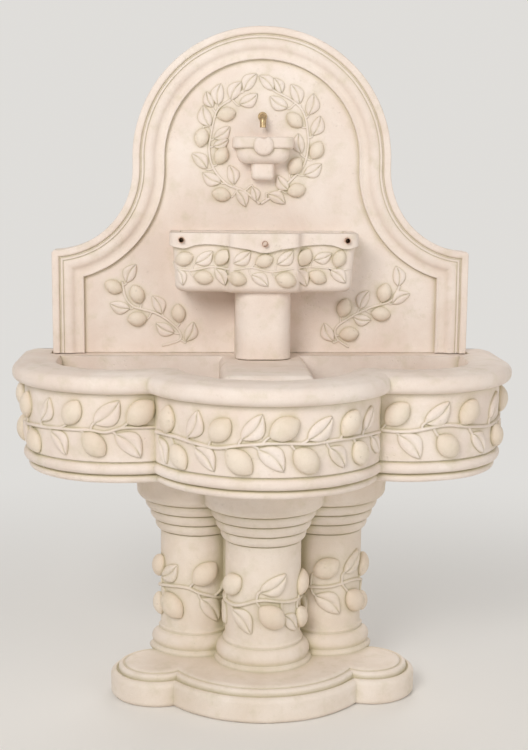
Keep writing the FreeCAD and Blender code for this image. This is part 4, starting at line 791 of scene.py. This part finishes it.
def plate_ring(inset, out):
    """The slab in front view: upright sides, hollow shoulders and a round arch, run on below its foot."""
    half, middle, radius = plate_half - inset, (plate_half, shoulder_height), shoulder_radius + inset
    foot, arch = plate_foot + inset, arch_radius - inset
    corner = (half, shoulder_height - math.sqrt(radius ** 2 - inset ** 2))
    right = (line_points((0, foot), (half, foot), 6) + line_points((half, foot), corner, 30)
             + arc_points(middle, radius, heading(middle, corner), -math.pi, 40)
             + line_points((arch, shoulder_height), (arch, arch_height), 3)
             + arc_points((0, arch_height), arch, 0, math.pi / 2, 70) + [(0, arch_height + arch)])
    return [at(x, out, z) for x, z in both_sides(right)]


def prism(outline, out0, out1):
    """A front-view outline carried through from one distance out to another."""
    return lofted("prism", [[at(x, out, z) for x, z in outline] for out in (out0, out1)])


def panel_wall(u, z, h):
    """The face of the sunk panel."""
    return at(u, panel_out + h, z)


wreath_sprays = [
    ([(-5, 1085), (-40, 1113), (-82, 1130), (-111, 1164), (-121, 1205), (-115, 1250), (-102, 1295), (-75, 1317),
      (-43, 1340), (-18, 1368)],
     [(-82, 1286, 15, 1.0), (-138, 1233, 258, 1.0), (-93, 1193, 60, 1.0), (-93, 1105, 170, 1.0)],
     [(-28, 1357, 52, 1.0, 0.1), (-60, 1338, 58, 1.0, 0.1), (-32, 1320, 30, 1.0, -0.1), (-98, 1330, 82, 1.0, 0.1),
      (-120, 1318, 112, 0.8, 0.1), (-127, 1281, 108, 1.05, 0.1), (-92, 1245, 38, 0.95, -0.1),
      (-94, 1222, 24, 0.8, -0.1), (-143, 1180, 135, 1.0, -0.1), (-115, 1143, 152, 1.0, 0.1),
      (-70, 1150, 105, 0.95, -0.1), (-47, 1096, -62, 0.9, 0.1), (-18, 1106, -75, 0.75, 0.1)]),
    ([(-2, 1085), (44, 1117), (75, 1148), (97, 1177), (105, 1214), (102, 1259), (90, 1297), (65, 1319), (23, 1341),
      (-2, 1364)],
     [(73, 1274, 140, 1.0), (124, 1207, 62, 1.0), (76, 1171, 60, 1.0), (79, 1116, 15, 1.0)],
     [(8, 1356, 137, 0.95, -0.1), (34, 1350, 118, 0.8, -0.1), (74, 1332, 115, 1.0, -0.1), (37, 1314, 148, 1.0, 0.1),
      (110, 1310, 76, 1.05, -0.1), (123, 1262, 68, 1.0, -0.1), (86, 1222, 98, 0.95, 0.1), (116, 1164, 33, 1.0, -0.1),
      (48, 1133, 130, 0.9, 0.1), (34, 1096, -28, 0.95, 0.1)]),
]
panel_sprays = [
    ([(-320, 905), (-314, 873), (-294, 847), (-245, 833), (-211, 812), (-187, 786), (-190, 769), (-228, 757)],
     [(-340, 893, 152, 1.0), (-286, 876, 110, 1.05), (-286, 819, 185, 1.05), (-191, 832, 95, 1.0)],
     [(-299, 924, 62, 1.0, 0.1), (-326, 849, 165, 1.0, 0.1), (-240, 852, 118, 1.0, -0.1), (-222, 798, 152, 1.0, 0.1),
      (-165, 790, 68, 1.0, -0.1)]),
    ([(323, 898), (303, 863), (250, 845), (204, 821), (175, 798), (178, 774), (205, 754)],
     [(286, 881, 75, 1.05), (193, 846, 72, 1.05), (279, 832, -5, 1.05), (206, 785, 8, 1.05)],
     [(316, 920, 98, 1.0, -0.1), (326, 868, 30, 1.0, 0.1), (240, 865, 62, 1.0, 0.1), (236, 821, -8, 0.9, -0.1),
      (158, 789, 118, 1.0, 0.1)]),
]
backplate = profiled("backplate", plate_ring, plate_profile, fine_stone, fruit_stone, longest=20)
parts = []
for spray in wreath_sprays + panel_sprays:
    parts += branch(panel_wall, *spray, scale=0.68, stand=0.8, stone=fine_stone)
worked(backplate, "UNION", parts)
parts = [block(-600, 600, -50, 110, 500, rail_top),
         block(-600, 600, panel_out - 1.5, 110, 730, rail_top + joint_width),
         block(-chase_half, chase_half, -5, 22, chase_foot, chase_top),
         block(-chase_half, chase_half, -5, 60, chase_foot, chase_foot + 90),
         round_bar((0, -5, nozzle_height), nozzle_hole, 60), round_bar(bracket_dowel, small_dowel_hole, 32)]
for side, rail_pin, trough_pin, bowl_pin in zip((-1, 1), *map(mirrored, (rail_dowel, trough_dowel, bowl_dowel))):
    tip, hanger = side * plate_half, side * hanger_place
    parts += [prism([(tip - side * 11, 983), (tip + side * 5, 967), (tip + side * 5, 983)], -5, 70),
              block(hanger - 45, hanger + 45, -5, 3, hanger_foot, hanger_top),
              block(hanger - 12, hanger + 12, -5, 14, hanger_foot, hanger_top),
              *(round_bar((hanger + end * screw_reach, 0, 1150), 2.5, 20) for end in (-1, 1)),
              round_bar(rail_pin, dowel_hole, 80, upright=True), round_bar(trough_pin, dowel_hole, 40),
              round_bar(bowl_pin, small_dowel_hole, 44)]
worked(backplate, "DIFFERENCE", parts)
hand_rubbed(backplate, sunk=panel_out)
in_place(backplate, "backplate")


# Trough: a small bow-fronted trough with a wavy lip on the half column, its front covered by one
# long lemon branch. Three copper tubes stand in its lip.

trough_half, wing_out, bow_out, trough_corner = 204, 172, 195, 22
bow_end, wing_start, bend_radius = 62, 94, 16.88
trough_top, trough_height, trough_taper = 1023, 122, 8
tube_places, tube_hole = [(-183, 140, 1008), (0, 160, 1001), (183, 140, 1008)], 6.55


def trough_wall(u, z, h):
    """The front of the trough: straight wings, two bends and a bowed middle, a little wider at the top."""
    taper = trough_taper * (trough_top - z) / trough_height
    x = abs(u)
    bend = min(1, max(0, (x - bow_end) / (wing_start - bow_end)))
    out = bow_out - (bow_out - wing_out) * bend * bend * (3 - 2 * bend)
    corner = trough_half - taper - trough_corner
    if x > corner:
        out -= trough_corner - math.sqrt(max(trough_corner ** 2 - (x - corner) ** 2, 0))
    return at(u, out - taper + h, z)


def trough_ring(inset, z, back=panel_out):
    """The trough in plan: straight wings and a bowed middle joined by two S-bends."""
    half, wing, bow = trough_half - inset, wing_out - inset, bow_out - inset
    turn = math.atan2(bow_out - wing_out, wing_start - bow_end)
    right = (line_points((0, back), (half, back), 12) + line_points((half, back), (half, wing - trough_corner), 8)
             + arc_points((half - trough_corner, wing - trough_corner), trough_corner, 0, math.pi / 2, 10)
             + line_points((half - trough_corner, wing), (wing_start, wing), 8)
             + arc_points((wing_start, wing + bend_radius), bend_radius, -math.pi / 2, -math.pi / 2 - 2 * turn, 10)
             + arc_points((bow_end, bow - bend_radius), bend_radius, math.pi / 2 - 2 * turn, math.pi / 2, 10)
             + line_points((bow_end, bow), (0, bow), 6) + [(0, bow)])
    return [at(x, out, z) for x, out in both_sides(right)]


trough_profile = [(27, 892), ((13, 896), (7, 908)), (0, trough_top)]
trough = profiled("trough", trough_ring, trough_profile, fine_stone, fruit_stone)
lip_profile = [(-6, 974), (-6, 1020), (-5, trough_top), (-2, 1024)]
lip = profiled("lip", trough_ring, lip_profile)
wave = [(0, 981), (43, 990), (112, 998), (149, 997), (180, 989), (216, 997)]
edge = smooth_line([(-x, z) for x, z in reversed(wave)] + wave[1:])
worked(lip, "INTERSECT", [prism(edge + [(230, 1040), (-230, 1040)], -20, 260)])
trough_stem = [(-198, 944), (-160, 941), (-116, 949), (-72, 944), (-28, 949), (16, 940), (71, 948), (116, 949),
               (171, 943), (196, 946)]
trough_lemons = [(-178, 966, 20, 1.0), (-94, 970, 55, 0.95), (-1, 964, 20, 0.95), (90, 971, 60, 1.0),
                 (166, 968, 70, 0.95), (-134, 925, -10, 1.0), (-61, 924, -15, 1.0), (47, 922, -15, 1.1),
                 (119, 927, -25, 1.0)]
trough_leaves = [(-133, 970, 35, 1.0, -0.1), (-50, 972, 35, 1.0, -0.1), (45, 972, 42, 1.0, -0.1),
                 (130, 973, 20, 0.9, -0.1), (-186, 925, -70, 0.8, 0.1), (-97, 926, -60, 0.9, 0.1),
                 (-10, 920, -35, 0.95, 0.1), (83, 925, -60, 0.95, 0.1), (165, 928, -40, 0.95, 0.1)]
parts = branch(trough_wall, trough_stem, trough_lemons, trough_leaves, scale=0.67, stand=0.72, thick=4,
               stone=fine_stone)
worked(trough, "UNION", parts + [lip])
inside_profile = [(32, 916), (26, 926), (22, 1014), (16, 1025)]
inside = profiled("inside", lambda inset, z: trough_ring(inset, z, back=62), inside_profile)
worked(trough, "DIFFERENCE", [inside, *(round_bar(place, tube_hole, 90) for place in tube_places),
                              *(round_bar(place, dowel_hole, 40) for place in mirrored(trough_dowel))])
hand_rubbed(trough)
in_place(trough, "trough")


# Half column and pump cover: the hollow half column of cast stone carries the trough and hides the
# hose. It stands on the rail and on the loose cover over the pump, which has a window in each side.

def rounded_block(name, half, back, front, corner, profile):
    """A block with rounded front corners, through pairs of an inset and a height."""
    def ring(inset, z):
        side, nose, turn = half - inset, front - inset, max(corner - inset, 1)
        right = (line_points((0, back), (side, back), 8) + line_points((side, back), (side, nose - turn), 10)
                 + arc_points((side - turn, nose - turn), turn, 0, math.pi / 2, 12)
                 + line_points((side - turn, nose), (0, nose), 8) + [(0, nose)])
        return [at(x, out, z) for x, out in both_sides(right)]
    return profiled(name, ring, profile, fine_stone, longest=30)


shape = bmesh.new()
shape.from_mesh(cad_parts["trough_column"].data)
bmesh.ops.remove_doubles(shape, verts=shape.verts, dist=1e-6)
bmesh.ops.recalc_face_normals(shape, faces=shape.faces)
column_mesh = bpy.data.meshes.new("half_column")
shape.to_mesh(column_mesh)
shape.free()
column_mesh.materials.append(plain_stone)
half_column = bpy.data.objects.new("half_column", column_mesh)
scene.collection.objects.link(half_column)
joint = block(-90, 90, 30, 200, 730, rail_top + joint_width)
worked(joint, "DIFFERENCE", [rounded_block("core", 60.5, 20, 163.5, 34.5, [(0, 720), (0, 750)])])
worked(half_column, "DIFFERENCE", [joint])
hand_rubbed(half_column, wave=0)
in_place(half_column, "trough_column")

cover = rounded_block("cover", 98, 85.5, 400, 14, [(0, basin_floor), (0, 721), ((5.5, 733.5), (18, rail_top))])
pump_bay = block(-72, 72, 80, 374, 550, 712)
side_windows = block(-110, 110, 100, 290, 550, 670)
hose_hole = round_bar((0, 130, 700), 16, 60, upright=True)
worked(cover, "DIFFERENCE", [pump_bay, side_windows, hose_hole])
hand_rubbed(cover, wave=0)
in_place(cover, "pump_cover")


# Spill bowl: a small lipped bowl of cast stone under the nozzle, which pours over its round tongue.
# Two steel dowels pin it to the backplate, and it stands on a bracket that has a dowel of its own.

tongue_height, tongue_cut = 1216, 1233.5
tongue_steps = ((88, 23), (102, 23), (106, 22), (109, 19), (110.4, 14))
tongue = lofted("tongue", [[at(r * math.cos(a), out, min(tongue_height + r * math.sin(a), tongue_cut))
                            for a in all_round(48)] for out, r in tongue_steps])
rim = rounded_block("rim", 69, panel_out, 104, 20,
                    [(6, 1209), ((1.5, 1211), (0, 1216)), (0, 1229), ((1.5, 1233), (6, 1235))])
hollow = rounded_block("hollow", 52, 51, 91, 14, [(12, 1192), ((3, 1195), (0, 1204)), (0, 1240)])
notch = round_bar((0, 84, 1239), 10, 40)
bowl = rounded_block("bowl", 60, panel_out, 98, 26, [(30, 1176), ((9, 1181), (1, 1198)), (0, 1214)])
worked(bowl, "UNION", [rim, tongue])
worked(bowl, "DIFFERENCE", [hollow, notch,
                            *(round_bar(place, small_dowel_hole, 44) for place in mirrored(bowl_dowel))])
hand_rubbed(bowl, wave=0)
in_place(bowl, "spill_bowl")
bracket = rounded_block("bracket", 26, panel_out, 76, 12, [(13, 1138), ((4, 1141), (0, 1152)), (0, 1176)])
worked(bracket, "DIFFERENCE", [round_bar(bracket_dowel, small_dowel_hole, 32)])
hand_rubbed(bracket, wave=0)
in_place(bracket, "spill_bowl_bracket")


# Tubes and nozzle: three half-inch copper tubes, gone brown, are pushed through the trough's lip. A
# dull brass nozzle sits over the bowl in a brass collar, on an elbow in the backplate's chase.

def metal_group():
    """Drawn metal: fine scratches, darker tarnish in patches and brighter edges."""
    group, given, made = shader_group(
        "old_metal",
        [("Metal", "Color", (0.6, 0.35, 0.22, 1)), ("Tarnish", "Color", (0.12, 0.07, 0.045, 1)),
         ("Tarnish Amount", "Float", 0.6), ("Patch Size", "Float", 120.0)],
        [("Color", "Color"), ("Roughness", "Float"), ("Height", "Float")])
    spot = node(group, "TexCoord").outputs["Object"]
    patches = node(group, "TexNoise", spot, Scale=given["Patch Size"], Detail=4, Roughness=0.65)
    patch_cut = node(group, "MapRange", patches, From_Min=0.35, From_Max=0.65)
    share = node(group, "Math", patch_cut, given["Tarnish Amount"], operation="MULTIPLY")
    tone = node(group, "MixRGB", share, given["Metal"], given["Tarnish"])
    edge_cut = edge_mask(group, 0.0006, flat=0.98, sharp=0.75, most=0.7)[1]
    edged = node(group, "MixRGB", edge_cut, tone, given["Metal"])
    rough = node(group, "MapRange", share, To_Min=0.28, To_Max=0.62)
    scratches = node(group, "TexNoise", spot, Scale=900, Detail=2)
    fed(group, made, Color=edged, Roughness=rough, Height=scratches)
    return group


def moulded_group():
    """Moulded plastic or rubber: a fine satin texture, lighter rubbed edges and settled dust."""
    group, given, made = shader_group(
        "moulded",
        [("Base", "Color", (0.05, 0.05, 0.05, 1)), ("Rubbed", "Color", (0.16, 0.16, 0.16, 1)),
         ("Dust", "Color", (0.32, 0.29, 0.24, 1)), ("Dust Amount", "Float", 0.15), ("Sheen Low", "Float", 0.42),
         ("Sheen High", "Float", 0.68)],
        [("Color", "Color"), ("Roughness", "Float"), ("Height", "Float")])
    spot = node(group, "TexCoord").outputs["Object"]
    dust = node(group, "TexNoise", spot, Scale=45, Detail=4)
    dust_cut = node(group, "MapRange", dust, From_Min=0.4, From_Max=0.75)
    share = node(group, "Math", dust_cut, given["Dust Amount"], operation="MULTIPLY")
    tone = node(group, "MixRGB", share, given["Base"], given["Dust"])
    edge_cut = edge_mask(group, 0.0008, flat=0.98, sharp=0.75, most=0.6)[1]
    edged = node(group, "MixRGB", edge_cut, tone, given["Rubbed"])
    texture = node(group, "TexNoise", spot, Scale=1400, Detail=1)
    rough = node(group, "MapRange", dust, To_Min=given["Sheen Low"], To_Max=given["Sheen High"])
    fed(group, made, Color=edged, Roughness=rough, Height=texture)
    return group


old_metal = metal_group()
moulded = moulded_group()


def finish(name, group, metallic=0.0, **values):
    """A metal, plastic or rubber material with its own values for a shared effect."""
    material, tree = new_material(name)
    skin = effect(tree, group, values)
    bump = node(tree, "Bump", Strength=0.25, Distance=0.0002, Height=skin["Height"])
    surface = node(tree, "BsdfPrincipled", Base_Color=skin["Color"], Roughness=skin["Roughness"], Normal=bump,
                   Metallic=metallic)
    node(tree, "OutputMaterial", surface)
    return material


def finished(material, *names):
    """Gives plain solids their finish."""
    for name in names:
        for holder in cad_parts[name].material_slots:
            holder.material = material


brown_copper = finish("brown_copper", old_metal, metallic=0.85, Metal=(0.74, 0.50, 0.37, 1),
                      Tarnish=(0.25, 0.16, 0.11, 1), Tarnish_Amount=0.5)
dull_brass = finish("dull_brass", old_metal, metallic=0.95, Metal=(0.66, 0.50, 0.29, 1),
                    Tarnish=(0.15, 0.10, 0.055, 1), Tarnish_Amount=0.75)
finished(brown_copper, "trough_spout_left", "trough_spout_centre", "trough_spout_right")
finished(dull_brass, "top_spout", "spout_collar", "spout_elbow")


# Hose: black ribless water hose from the pump up through the half column and the backplate's chase,
# held by a zinc-plated worm-drive band at each end.

hose_rubber = finish("hose_rubber", moulded, Base=(0.035, 0.035, 0.037, 1), Rubbed=(0.11, 0.11, 0.11, 1),
                     Dust_Amount=0.3)
zinc_steel = finish("zinc_steel", old_metal, metallic=0.95, Metal=(0.62, 0.63, 0.64, 1),
                    Tarnish=(0.33, 0.32, 0.31, 1), Tarnish_Amount=0.5, Patch_Size=60.0)
finished(hose_rubber, "supply_hose")
finished(zinc_steel, "hose_clamp_lower", "hose_clamp_upper")


# Fixings: plated steel dowels pin the castings to each other. Two plates let into the back of the
# backplate hang it on wall screws.

finished(zinc_steel, "backplate_dowels", "trough_dowels", "spill_bowl_dowels", "bracket_dowel",
         "hanger_plate_left", "hanger_plate_right", "hanger_screws")


# Pump: a small sealed submersible pump with a turning flow ring, on four rubber feet. Its impeller
# and magnet turn on a ceramic shaft between two rubber bushes.

pump_shell = finish("pump_shell", moulded, Base=(0.028, 0.03, 0.034, 1), Rubbed=(0.12, 0.12, 0.125, 1))
pump_trim = finish("pump_trim", moulded, Base=(0.10, 0.115, 0.135, 1), Rubbed=(0.26, 0.28, 0.3, 1),
                   Sheen_Low=0.3, Sheen_High=0.5)
black_rubber = finish("black_rubber", moulded, Base=(0.03, 0.03, 0.03, 1), Rubbed=(0.09, 0.09, 0.09, 1),
                      Dust_Amount=0.35, Sheen_Low=0.6, Sheen_High=0.85)
white_ceramic = finish("white_ceramic", moulded, Base=(0.82, 0.81, 0.78, 1), Rubbed=(0.9, 0.9, 0.88, 1),
                       Dust_Amount=0.05, Sheen_Low=0.2, Sheen_High=0.35)
magnet_coat = finish("magnet_coat", moulded, Base=(0.06, 0.06, 0.065, 1), Rubbed=(0.2, 0.2, 0.2, 1),
                     Dust_Amount=0.05)
finished(pump_shell, "pump_housing", "pump_intake_cover")
finished(pump_trim, "impeller", "flow_regulator", "outlet_adapter")
finished(black_rubber, "pump_gasket", "shaft_bush_front", "shaft_bush_rear", "suction_feet", "cord_gland")
finished(white_ceramic, "impeller_shaft")
finished(magnet_coat, "rotor_magnet")


# Drain: a brass fitting through the basin's floor, sealed by a rubber gasket and held by a nut from
# below. A loose rubber stopper closes it.

finished(dull_brass, "drain_fitting", "drain_locknut")
finished(black_rubber, "drain_gasket", "drain_stopper")


# Bring the scene up to date after all the changes.

bpy.context.view_layer.update()
